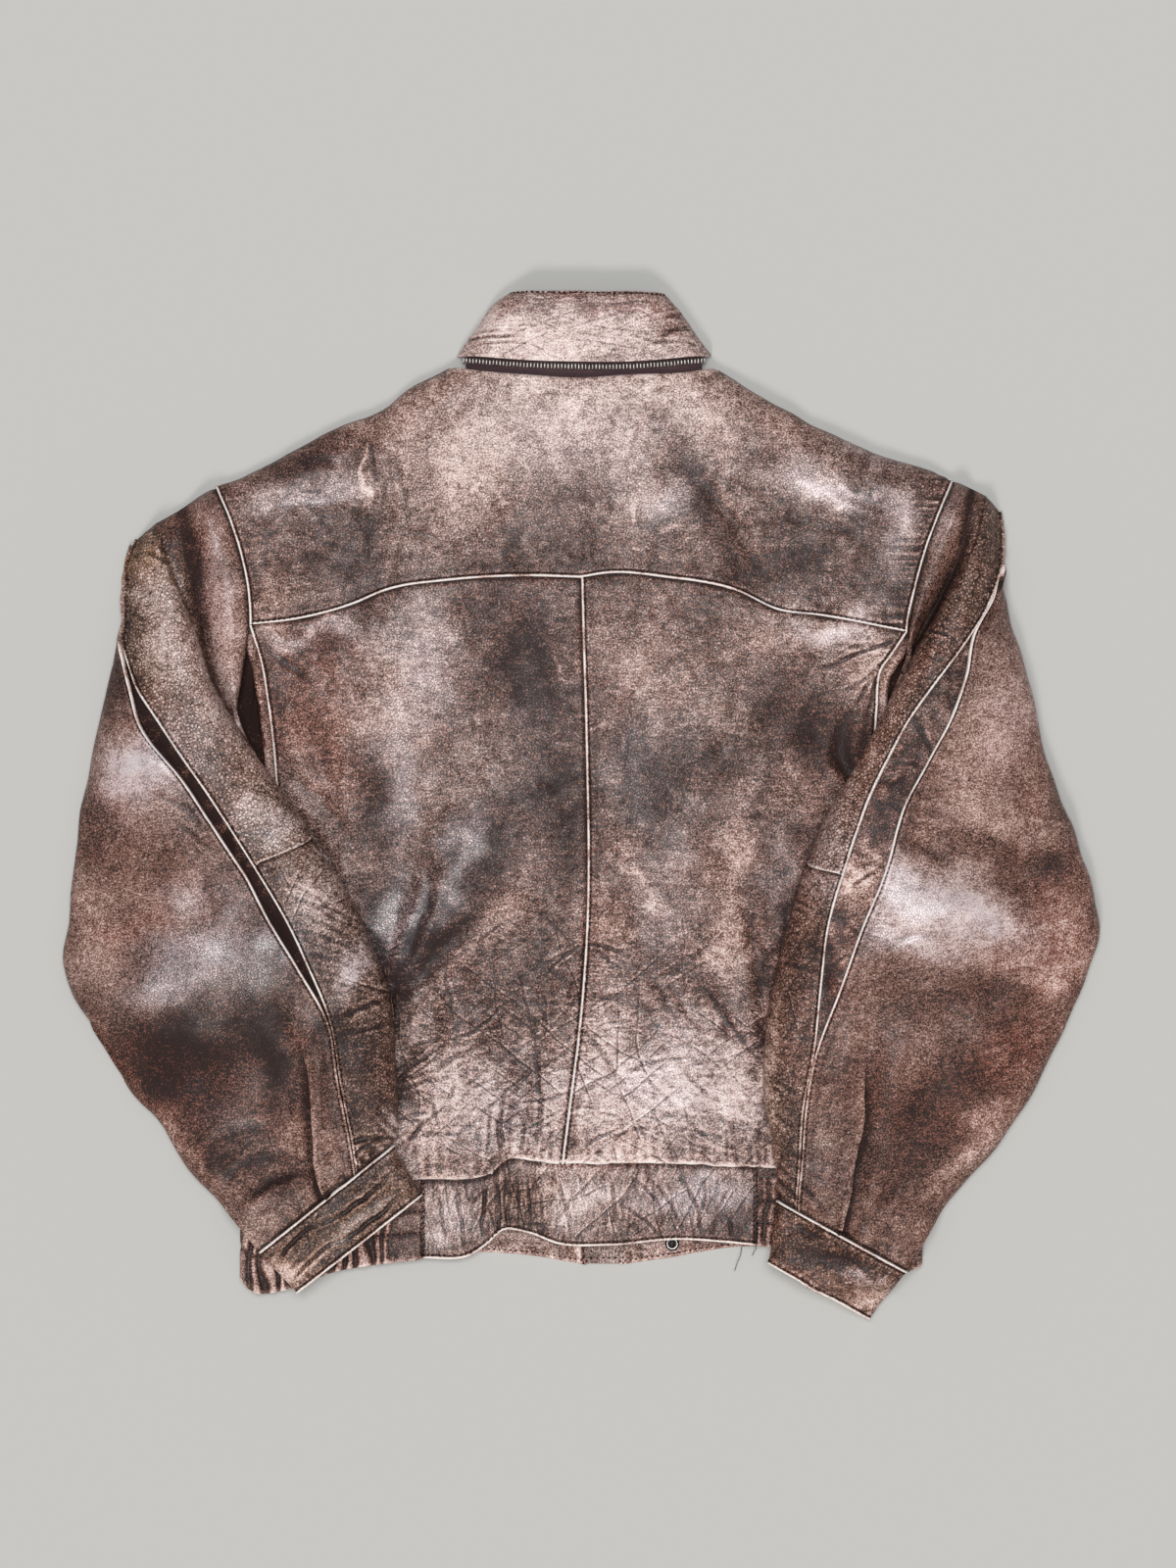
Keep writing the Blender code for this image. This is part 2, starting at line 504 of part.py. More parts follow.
def make_waistband():
    """The waistband: a plain back, ruched sides that turn under, and the two fronts."""
    across = np.linspace(0, 1, 15)
    hem = along(BAND_HEM, across)
    top = np.stack([np.linspace(BAND_LEFT_X, BAND_RIGHT_X, 15), np.full(15, WAIST_Y + 14)], axis=1)
    share = np.linspace(0, 1, 5)[:, None, None]
    plan = top[None] * (1 - share) + hem[None] * share
    wall("waistband_back", lifted(plan, np.full(plan.shape[:2], BAND_TOP)), "brown_leather", -1)

    for side, sign, inner_x, hem_line in (("left", -1, BAND_LEFT_X, LEFT_SIDE_HEM),
                                          ("right", 1, BAND_RIGHT_X, RIGHT_SIDE_HEM)):
        start, fold = abs(inner_x), SIDE_X - 3
        run = np.array([0, 0.2, 0.4, 0.6, 0.8, 0.92, 0.98])
        over = [(start + (fold - start) * t, BAND_TOP) for t in run]
        turn = [(fold + BAND_FOLD * (np.cos(a) - 1), BAND_FOLD * (np.sin(a) + 1))
                for a in np.radians((55, 20, -20, -55))]
        under = [(fold - inset, 0) for inset in TURN_UNDER] + [(FRONT_HEM_RIGHT[-1][0] + SEAM_GAP, 0)]
        section = np.array(over[:-1] + turn + under)
        length = np.concatenate([[0], np.cumsum(np.linalg.norm(np.diff(section, axis=0), axis=1))])
        hem_y = along(hem_line, length / length[-1])[:, 1]
        rows = []
        for t in np.linspace(0, 1, 5):
            y = (WAIST_Y - SEAM_GAP) * (1 - t) + hem_y * t
            rows.append(np.stack([sign * section[:, 0], y, section[:, 1]], axis=1))
        wall("waistband_side_" + side, np.array(rows), "brown_leather", -sign)

    high = WAIST_Y - SEAM_GAP
    for side, hem_line in (("left", FRONT_HEM_LEFT), ("right", FRONT_HEM_RIGHT)):
        bottom = along(hem_line, np.linspace(0, 1, 9))
        outline = [*bottom, (bottom[-1][0], high), (bottom[0][0], high)]
        plate("waistband_front_" + side, outline, 0, WALL, "brown_leather")

    turns = np.linspace(0, 2 * np.pi, SNAP_SIDES, endpoint=False)
    ring = [(SNAP_AT[0] + radius * np.cos(a), SNAP_AT[1] + radius * np.sin(a), WALL + SEAM_GAP + rise)
            for radius, rise in SNAP_RING for a in turns]
    faces = []
    for i in range(len(SNAP_RING)):
        this, following = i * SNAP_SIDES, (i + 1) % len(SNAP_RING) * SNAP_SIDES
        for j in range(SNAP_SIDES):
            k = (j + 1) % SNAP_SIDES
            faces.append((this + j, this + k, following + k, following + j))
    add_object("snap_socket", ring, faces, "nickel")


# ---------------------------------------------------------------- sleeves

def sleeve_sections(table, cap, armhole, at):
    """The sleeve's sections at the given rows: plan points of lip, edge and seam, and its heights."""
    knots = np.arange(len(table))
    rows = dict(zip(SLEEVE_COLUMNS, hermite(knots, table, at).T))
    caps = dict(zip(CAP_COLUMNS, hermite(np.arange(len(cap)), cap, np.minimum(at, len(cap) - 1)).T))
    caps["at"] = along(armhole, np.clip(caps["seam"], 0, 1))
    caps["at"][:, 0] += np.sign(caps["at"][:, 0]) * SEAM_SPREAD
    lip = np.stack([rows["lip_x"], rows["lip_y"]], axis=1)
    edge = np.stack([rows["edge_x"], rows["edge_y"]], axis=1)
    closed = smoothstep(at - (len(cap) - 1))
    on_body = support(lip[:, 0], lip[:, 1]) + 7
    rows["fold_z"] = caps["fold_z"] * (1 - closed) + on_body * closed
    rows["edge_z"] = rows["edge_z"] + support(edge[:, 0], edge[:, 1])
    return lip, edge, rows, caps, closed


def over_the_top(lip, edge, rows, share, first_line):
    """Points on the upper side, share 0 at the lip and 1 at the edge, spaced finer at both."""
    across = (1 - np.cos(np.pi * share)) / 2
    plan = lip[:, None] * (1 - across[..., None]) + edge[:, None] * across[..., None]
    base = rows["fold_z"][:, None] * (1 - across) + rows["edge_z"][:, None] * across
    lean = 1 + 0.25 * (1 - 2 * across)
    height = base + rows["crown"][:, None] * np.sin(np.pi * share) ** 0.85 * lean
    height += folds(SLEEVE_FOLDS, plan[..., 0], plan[..., 1])
    height *= turn_down(distance_to(first_line, plan[..., 0], plan[..., 1]), SHOULDER_ROLL)
    return lifted(plan, height)


def cap_points(lip, edge, rows, caps, closed, share, first_line):
    """Points from the armhole seam over the cap and down the valley to the lip; below the underarm
    the same columns run from the underarm seam along the underside to the lip."""
    share = np.broadcast_to(share, (len(lip), np.shape(share)[-1]))
    plan = caps["at"][:, None] * (1 - share[..., None]) + lip[:, None] * share[..., None]
    valley = caps["valley"][:, None]
    rising = np.clip(share / valley, 0, 1)
    height = (caps["seam_z"][:, None] * (1 - rising) + caps["valley_z"][:, None] * rising
              + CAP_BULGE * np.sin(np.pi * rising) ** 1.2)
    climb = smoothstep((share - valley) / (1 - valley))
    height = height * (1 - climb) + rows["fold_z"][:, None] * climb
    height *= turn_down(distance_to(first_line, plan[..., 0], plan[..., 1]), SHOULDER_ROLL)
    cap = lifted(plan, height)

    inner = lip + (edge - lip) * INNER_SEAM
    angle = np.pi / 2 * share
    plan = inner[:, None] + (lip - inner)[:, None] * np.sin(angle)[..., None]
    resting = support(plan[..., 0], plan[..., 1])
    height = resting + (rows["fold_z"][:, None] - resting) * (1 - np.cos(angle)) ** 2
    under = lifted(plan, height)
    mix = closed[:, None, None]
    return cap * (1 - mix) + under * mix


def underneath(lip, edge, rows, caps, closed, share, sign):
    """Points on the underside, share 0 at the edge and 1 at the armhole or the underarm seam."""
    share = np.broadcast_to(share, (len(lip), np.shape(share)[-1]))
    front_seam = caps["at"].copy()
    front_seam[:, 0] = sign * np.maximum(np.abs(front_seam[:, 0]), SIDE_X + 1) + sign * 2
    width = np.linalg.norm(edge - lip, axis=1)[:, None]
    inner = lip + (edge - lip) * (INNER_SEAM + SEAM_SPREAD / width)
    end = front_seam * (1 - closed[:, None]) + inner * closed[:, None]
    across = 1 - np.cos(np.pi / 2 * share)
    plan = edge[:, None] * (1 - across[..., None]) + end[:, None] * across[..., None]
    resting = support(plan[..., 0], plan[..., 1])
    height = resting + (rows["edge_z"][:, None] - resting) * (1 - np.sin(np.pi / 2 * share)) ** 3
    return lifted(plan, height)


def angle_share(across):
    """Which share of the half turn stands at a share of the width."""
    return np.arccos(1 - 2 * np.clip(across, 0, 1)) / np.pi


def make_sleeve(side):
    """One sleeve: upper and lower back pieces, gusset and the large front piece."""
    sign = -1 if side == "left" else 1
    table, cap, armhole = SLEEVES[side]
    first_line = (armhole[0], table[0][:2], table[0][2:4])
    last = len(table) - 1
    fold_share = np.array([0, 0.25, 0.5, 0.75, 0.92])
    strip_share = np.array([0.0, 0.2, 0.45, 0.72, 1.0])

    def back_piece(name, at):
        """A piece from the underarm seam or the armhole round the lip to the welt."""
        columns = []
        for j in range(len(fold_share) + len(strip_share)):
            over = j - len(fold_share)
            lip, edge, rows, caps, closed = sleeve_sections(table, cap, armhole, at[:, j])
            if over < 0:
                points = cap_points(lip, edge, rows, caps, closed, fold_share[[j]], first_line)
            else:
                share = angle_share(rows["welt"])[:, None] * strip_share[over]
                points = over_the_top(lip, edge, rows, share, first_line)
            columns.append(points[:, 0])
        wall(name, np.stack(columns, axis=1), "olive_leather", -sign)

    slant = np.concatenate([np.zeros(len(fold_share)), strip_share])
    elbow = ELBOW[side][0] + (ELBOW[side][1] - ELBOW[side][0]) * slant[None]
    near_top = np.array([0, 0.1, 0.3, 0.6])[:, None] + 0 * slant[None]
    run = np.linspace(0, 1, 9 if side == "left" else 11)[:, None]
    back_piece(f"sleeve_{side}_back_upper", np.concatenate([near_top, 1 + (elbow - 1) * run]))
    back_piece(f"sleeve_{side}_back_lower", elbow + (last - elbow) * np.linspace(0, 1, 10)[:, None])

    at = np.concatenate([[0.15, 0.5], np.linspace(1, last, 19)])
    lip, edge, rows, caps, closed = sleeve_sections(table, cap, armhole, at)
    width = np.linalg.norm(edge - lip, axis=1)
    on_top = rows["gusset"] + SEAM_SPREAD / width < 0.99
    start = np.where(on_top, angle_share(rows["gusset"] + SEAM_SPREAD / width), 1.0)[:, None]
    over = start + (1 - start) * np.array([0, 0.15, 0.35, 0.55, 0.75, 0.9, 1.0])
    top = over_the_top(lip, edge, rows, over, first_line)
    hidden = np.where(on_top, 0.0, 0.36)[:, None]
    tucked = hidden * np.linspace(0.7, 1, 7)
    top = np.where(on_top[:, None, None], top, underneath(lip, edge, rows, caps, closed, tucked, sign))
    below = hidden + (1 - hidden) * np.array([0.1, 0.22, 0.36, 0.55, 0.78, 1.0])
    bottom = underneath(lip, edge, rows, caps, closed, below, sign)
    wall(f"sleeve_{side}_front", np.concatenate([top, bottom], axis=1), "brown_leather", -sign)

    at = np.linspace(*GUSSET_ROWS[side], 14)
    lip, edge, rows, caps, closed = sleeve_sections(table, cap, armhole, at)
    width = np.linalg.norm(edge - lip, axis=1)
    low, high = rows["welt"] - 4 / width, np.minimum(rows["gusset"] + 4 / width, 0.97)
    over = angle_share(low[:, None] + (high - low)[:, None] * np.linspace(0, 1, 3))
    strip = over_the_top(lip, edge, rows, over, first_line)
    strip += grid_normals(strip, False) * -sign * GUSSET_DROP
    wall(f"sleeve_{side}_gusset", strip, "brown_leather", -sign, thickness=THIN_WALL)


def make_cuff(side):
    """The cuff, a flattened tube beyond the sleeve's end."""
    sign = -1 if side == "left" else 1
    ends = np.array(LEFT_CUFF if side == "left" else RIGHT_CUFF, float)
    turn = np.linspace(0, 2, 20, endpoint=False)
    rows = []
    for t in np.linspace(0.01, 1, 4):
        corners = ends[0] * (1 - t) + ends[1] * t
        inner, outer = corners[:2], corners[2:]
        share = np.minimum(turn, 2 - turn)
        across = ((1 - np.cos(np.pi * share)) / 2)[:, None]
        plan = inner * (1 - across) + outer * across
        resting = support(plan[:, 0], plan[:, 1])
        middle = resting + CUFF_EDGE
        bulge = np.sin(np.pi * share)
        height = np.where(turn <= 1, middle + (CUFF_RISE - 2 * t) * bulge ** 0.6,
                          resting + (middle - resting) * (1 - bulge) ** 2)
        rows.append(np.concatenate([plan, height[:, None]], axis=1))
    wall(f"cuff_{side}", np.array(rows), "olive_leather", -sign, closed=True)


def main():
    """Clear the scene and build the jacket."""
    for old in list(bpy.data.objects):
        bpy.data.objects.remove(old, do_unlink=True)
    make_yoke()
    make_back_panels()
    make_pleats()
    make_fronts()
    make_collar()
    make_waistband()
    for side in ("left", "right"):
        make_sleeve(side)
        make_cuff(side)


main()
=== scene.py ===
"""The looks of a worn leather jacket that lies on its front, laid out as an add-on.

Each leather piece is a fine grid over the same form as its solid, with welts, folds, worn patches and
painted light and shade added, and is closed with a thin wall. Tables are in millimetres as on a cutter's
pattern, with +Y towards the collar; MM and CENTRE turn them into the frame's metres.
"""

import json

import bpy
import numpy as np
from bpy.props import FloatProperty, FloatVectorProperty, IntProperty, PointerProperty
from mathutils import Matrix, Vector

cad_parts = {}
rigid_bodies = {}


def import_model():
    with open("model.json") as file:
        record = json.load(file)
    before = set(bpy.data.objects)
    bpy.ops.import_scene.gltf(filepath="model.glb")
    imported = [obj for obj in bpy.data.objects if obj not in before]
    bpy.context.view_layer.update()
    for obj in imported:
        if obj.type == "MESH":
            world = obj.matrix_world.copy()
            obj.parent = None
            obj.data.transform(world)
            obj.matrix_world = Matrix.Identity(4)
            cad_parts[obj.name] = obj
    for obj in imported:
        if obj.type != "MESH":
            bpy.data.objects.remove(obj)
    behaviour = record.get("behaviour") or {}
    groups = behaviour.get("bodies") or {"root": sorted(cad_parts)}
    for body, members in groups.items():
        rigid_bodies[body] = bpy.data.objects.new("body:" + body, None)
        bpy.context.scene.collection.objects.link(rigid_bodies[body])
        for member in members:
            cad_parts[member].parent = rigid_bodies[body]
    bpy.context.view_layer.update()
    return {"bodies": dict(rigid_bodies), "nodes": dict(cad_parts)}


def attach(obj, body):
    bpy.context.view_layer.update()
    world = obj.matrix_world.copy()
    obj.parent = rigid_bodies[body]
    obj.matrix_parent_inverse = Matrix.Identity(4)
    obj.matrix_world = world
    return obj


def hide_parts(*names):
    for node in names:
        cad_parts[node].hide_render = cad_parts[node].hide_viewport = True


bl_info = {
    "name": "Worn Leather Jacket",
    "version": (1, 0, 0),
    "blender": (4, 5, 0),
    "location": "View3D > Sidebar > Jacket",
    "description": "Builds the finished leather, stitching and zip of a worn jacket laid on its front",
    "category": "Object",
}

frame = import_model()
BODY = next(iter(frame["bodies"]))

MM = 0.001
CENTRE = (-0.4, 0.0)  # the tables' point that lies over the frame's origin
WALL = 1.5
INNER_WALL_DROP = 0.02  # keeps the wall's inner face off the floor
SEAM_SPREAD = 0.7
REST_GAP = 2.5
SIGN = {"left": -1, "right": 1}
SIDE_X = 243.0
WAIST_Y = -262.0
UNDERARM_Y = 62.0
PLEAT_TOP_Y = 116.0
SHOULDER_ROLL = 24.0
PLEAT_DROP = 4.0
PLEAT_LAP = 9.0  # how far a pleat's strip runs in under its panel
THREAD_LIFT = 0.12  # how far the thread's line stands off the leather
BAND_TOP = 9.5
BLOUSE_TOP = 12.7
GUSSET_DROP = 3.0
CUFF_RISE = 12.0

# Distances from a finished edge at which its welt is shaped; the stitches lie on the one at STITCH_LINE
EDGE_OFFSETS = (0.0, 0.12, 0.4, 0.9, 1.6, 2.3, 2.8, 3.3, 3.9, 4.6, 5.6, 7.0)
STITCH_LINE = 5
EDGE_ROW = 3  # the offset that holds a second row of stitches, close to the edge
# Tones that each point carries: pale wear with painted highlight, dirt with painted shade, reddish, amber
# stain, coarse grain, crease marks with painted shade in their troughs, polish with painted sheen, and fine
# lines
TONES = ("rub", "dark", "warm", "amber", "coarse", "crest", "polish", "lines")

# ---------------------------------------------------------------- the pattern's tables

# How high the back stands off the floor: y, half width, height at the side, height in the middle
BACK_SECTIONS = (
    (320, 250, 10, 14), (225, 258, 13, 22), (150, 236, 19, 25), (100, 234, 17, 26), (40, 240, 10, 26),
    (-40, 243, 8, 25), (-120, 243, 8, 22), (-200, 243, 8, 18), (-262, 243, 9, 14),
)

# The largest soft folds on the body: from x, y to x, y, half width, height (a trough is negative)
BODY_FOLDS = (
    (-123, -45, -150, -120, 20, -7), (-143, 205, -141, 150, 16, -3.5), (74, 240, 128, 155, 22, -3.5),
    (82, -45, 120, -160, 18, 3), (-31, -170, -52, -240, 12, -3), (-70, -110, -92, -200, 16, 2.5),
)

LEFT_SHOULDER = (
    (-257, 223), (-230, 235), (-202, 249), (-168, 268), (-150, 273), (-137, 279), (-122, 292), (-93, 308),
)
NECK = ((-93, 308), (-64, 304), (-37, 302), (-2, 300), (32, 302), (74, 304), (97, 308))
RIGHT_SHOULDER = ((97, 308), (122, 289), (164, 267), (212, 246), (239, 237), (262, 228))
YOKE_SEAM_LEFT = ((-233, 126), (-199, 130), (-161, 140), (-137, 150), (-92, 157), (-37, 160), (0, 159))
YOKE_SEAM_RIGHT = ((0, 159), (19, 162), (60, 159), (108, 150), (139, 136), (170, 132), (229, 121))
LEFT_ARMHOLE = ((-257, 223), (-246, 197), (-239, 175), (-234, 149), (-233, 126), (-236, 96), (-241, 66))
RIGHT_ARMHOLE = ((262, 228), (252, 205), (242, 178), (234, 149), (229, 121), (231, 107))
LEFT_PLEAT = ((-233, 126), (-226, 104), (-220, 70), (-215, 21), (-211, -60), (-207, -160), (-205, -262))
RIGHT_PLEAT = ((229, 121), (219, 106), (211, 94), (208, 68), (206, 10), (205, -80), (205, -262))
CENTRE_SEAM = ((0, 159), (1, 118), (3, 49), (3, -96), (-2, -158), (-9, -213), (-14, -253))
BLOUSE_LEFT = ((-205, -262), (-150, -264), (-112, -264), (-64, -260), (-50, -249), (-33, -251), (-14, -253))
BLOUSE_RIGHT = ((-14, -253), (60, -253), (122, -255), (160, -258), (205, -262))
DOUBLE_STITCH_Y = -97.0  # below this the centre seam is stitched on both sides

ZIP_LINE = ((-88, 315), (-37, 311), (-2, 310), (32, 310), (92, 315))
COLLAR_TOP = ((-48, 362), (5, 362), (58, 361))
COLLAR_LEFT = ((-88, 316), (-75, 334), (-61, 353), (-48, 362))
COLLAR_RIGHT = ((92, 316), (79, 334), (68, 349), (58, 361))
COLLAR_HEIGHT = 17.0
TAPE_HEIGHT, TAPE_END = 12.5, 4.5

BAND_LEFT_X, BAND_RIGHT_X = -113.0, 124.0
BAND_HEM = (
    (-113, -319), (-78, -317), (-66, -309), (-54, -299), (-38, -301), (-16, -309), (19, -310), (67, -306),
    (124, -310),
)
LEFT_SIDE_HEM = (
    (-113, -320), (-147, -324), (-171, -328), (-209, -342), (-228, -343), (-238, -332), (-225, -326),
    (-150, -318),
)
RIGHT_SIDE_HEM = ((124, -310), (160, -314), (200, -320), (228, -328), (241, -324), (225, -322), (150, -314))
FRONT_HEM_LEFT = ((-149.7, -316), (-66, -315), (-37, -317), (3.7, -324))
FRONT_HEM_RIGHT = ((27.3, -324), (60, -319), (112, -311), (149.7, -312))
PLACKET_TURNS = (-1.5, 6.8, 22.6)  # where the placket's turned edges show on the inner face
PLACKET_X = (4.0, 27.0)
PLACKET_END_Y = -323.0
SNAP_AT = (64.0, -309.0)
# The snap's ring: radius and height, from its middle to its outer edge
SNAP_PROFILE = (
    (0.0, 0.9), (1.3, 1.0), (1.9, 0.5), (2.3, 0.5), (2.7, 1.5), (3.1, 2.1), (3.7, 2.3), (4.4, 2.1),
    (4.9, 1.5), (5.0, 0.6), (5.0, 0.05),
)

# Sleeves: a row for each section from shoulder to wrist. lip is where the sleeve folds over the
# back, edge its outline, welt and gusset how far across the two seams run (0 lip, 1 edge), crown
# how far it rises and edge_z the height of its outline.
SLEEVE_COLUMNS = ("lip_x", "lip_y", "edge_x", "edge_y", "welt", "gusset", "crown", "edge_z")
LEFT_SLEEVE = (
    (-299, 198, -315, 185, 1, 1, 8, 1), (-285, 158, -322, 163, 1, 1, 15, 2.5),
    (-271, 125, -323, 125, 1, 1, 20, 4), (-260, 89, -331, 87, 0.767, 0.79, 24, 5),
    (-244, 59, -339, 56, 0.547, 0.67, 26, 5), (-223, 28, -348, 14, 0.392, 0.461, 28, 5),
    (-202, 1, -356, -30, 0.316, 0.369, 29, 5.5), (-181, -34, -360, -75, 0.261, 0.3, 30, 6),
    (-162, -65, -362, -124, 0.227, 0.27, 31, 6), (-146, -99, -342, -158, 0.23, 0.255, 31, 6),
    (-133, -137, -313, -205, 0.234, 0.234, 29, 6), (-130, -179, -285, -241, 0.248, 0.248, 26, 6),
    (-128, -220, -254, -279, 0.259, 0.259, 20, 6), (-132, -238, -226, -313, 0.27, 0.27, 11, 6),
)
RIGHT_SLEEVE = (
    (285, 217, 296, 204, 1, 1, 7, 1), (274, 180, 297, 179, 1, 1, 13, 2.5),
    (260, 152, 298, 152, 0.8, 0.8, 18, 4), (243, 124, 306, 121, 0.515, 0.515, 22, 5),
    (227, 94, 313, 90, 0.315, 0.48, 25, 5), (210, 61, 320, 61, 0.189, 0.426, 27, 5),
    (193, 28, 328, 32, 0.149, 0.352, 28, 5.5), (174, -3, 338, -3, 0.149, 0.3, 30, 6),
    (158, -41, 355, -46, 0.139, 0.274, 31, 6), (145, -82, 362, -99, 0.129, 0.228, 32, 6),
    (134, -127, 346, -144, 0.158, 0.21, 31, 6), (128, -168, 321, -195, 0.18, 0.18, 30, 6),
    (128, -206, 291, -239, 0.17, 0.17, 26, 6), (135, -241, 257, -282, 0.15, 0.15, 19, 6),
    (138, -277, 229, -327, 0.14, 0.14, 11, 6),
)
# The cap, for the sections that end at the armhole: how far down the armhole, how high the seam is,
# the valley between cap and strip (how far across, how high), and the height of the strip's fold
CAP_COLUMNS = ("seam", "seam_z", "valley", "valley_z", "fold_z")
LEFT_CAP = (
    (0, 14, 0.55, 15, 16), (0.22, 19, 0.66, 14, 19), (0.47, 20, 0.84, 10, 21), (0.75, 14, 0.92, 9, 22),
    (1, 11, 0.8, 10, 22),
)
RIGHT_CAP = (
    (0, 14, 0.55, 15, 16), (0.25, 19, 0.74, 13, 19), (0.47, 20, 0.84, 10, 21), (0.74, 19, 0.88, 9, 22),
    (1, 12, 0.8, 10, 21),
)
SLEEVES = {"left": (LEFT_SLEEVE, LEFT_CAP, LEFT_ARMHOLE), "right": (RIGHT_SLEEVE, RIGHT_CAP, RIGHT_ARMHOLE)}
GUSSET_ROWS = {"left": (2.6, 9.9), "right": (3.1, 10.9)}
CAP_BULGE = 7.0
INNER_SEAM = 0.12
ELBOW = {"left": (6.65, 7.0), "right": (8.0, 8.2)}  # section at the lip, section at the welt
SLEEVE_FOLDS = (
    (-189, -186, -186, -255, 9, -5), (201, -165, 192, -265, 9, -5), (-150, -150, -120, -135, 12, -3),
    (-335, -180, -212, -184, 24, -7), (-300, -116, -205, -108, 28, 5), (250, -30, 325, -46, 17, -4.5),
    (214, -60, 300, -82, 17, 3.5), (235, -136, 312, -142, 20, -4.5), (-250, -54, -268, -66, 12, -2),
    (-320, 62, -300, 10, 18, 2),
)
# The tuck above each cuff: section, how far across its fold lies; and where it opens and is full
TUCK = {
    "left": ((9.4, 0.40), (9.75, 0.37), (10.5, 0.355), (11.2, 0.397), (12.0, 0.472), (12.7, 0.509),
             (13.0, 0.515)),
    "right": ((10.0, 0.36), (10.5, 0.345), (11.0, 0.365), (11.5, 0.393), (12.2, 0.437), (13.0, 0.445),
              (14.0, 0.495)),
}
TUCK_OPENS = {"left": (10.0, 11.0), "right": (10.7, 12.0)}
# Across the tuck's fold: how far out from it flat and folded, and how far it drops when folded
TUCK_PROFILE = (
    (-9, -9, 0.9), (-5, -5, 1.5), (-2.4, -2.4, 1.9), (-0.9, -0.8, 1.8), (0, 0, 0.9), (0.5, 0.3, -0.2),
    (1, -0.4, -1.7), (1.5, -4, -2.6), (2, -5.5, -3.6), (2.5, -4, -4.6), (3.4, 0.8, -4.8), (5, 4, -4.4),
    (7.5, 7.5, -3.5), (11, 11, -2.4), (16, 16, -1.2),
)

# The plain pieces that lie hidden on the floor: their finish, and their cut's width and length in m
HIDDEN_PIECES = {
    "front_panel_left": ("brown", 0.255, 0.559), "front_panel_right": ("brown", 0.230, 0.559),
    "front_placket": ("brown", 0.023, 0.563), "front_zip": ("tape", 0.014, 0.49),
    "collar_front_left": ("pale", 0.076, 0.086), "collar_front_right": ("pale", 0.076, 0.086),
}

# Lengths that the rows and columns of the larger pieces are spaced along
YOKE_SPAN, YOKE_DEPTH = 485, 150
PANEL_SPAN, PANEL_DEPTH = 225, 410
COLLAR_SPAN = 150
BAND_DEPTH = 62
STRIP_LENGTHS = {"upper": 300, "lower": 270}
SLEEVE_LENGTH = 600
CUFF_DEPTH = 41

# Where a cuff starts and ends: x, y of its two sides
CUFFS = {
    "left": ((-132, -238, -226, -313), (-112, -275, -199, -343)),
    "right": ((138, -277, 229, -327), (131, -322, 202, -362)),
}
# How far down a sleeve the stitches of its upper strip and of its front start
WELT_STARTS = {"left": (0.16, 0.2), "right": (0.12, 0.17)}
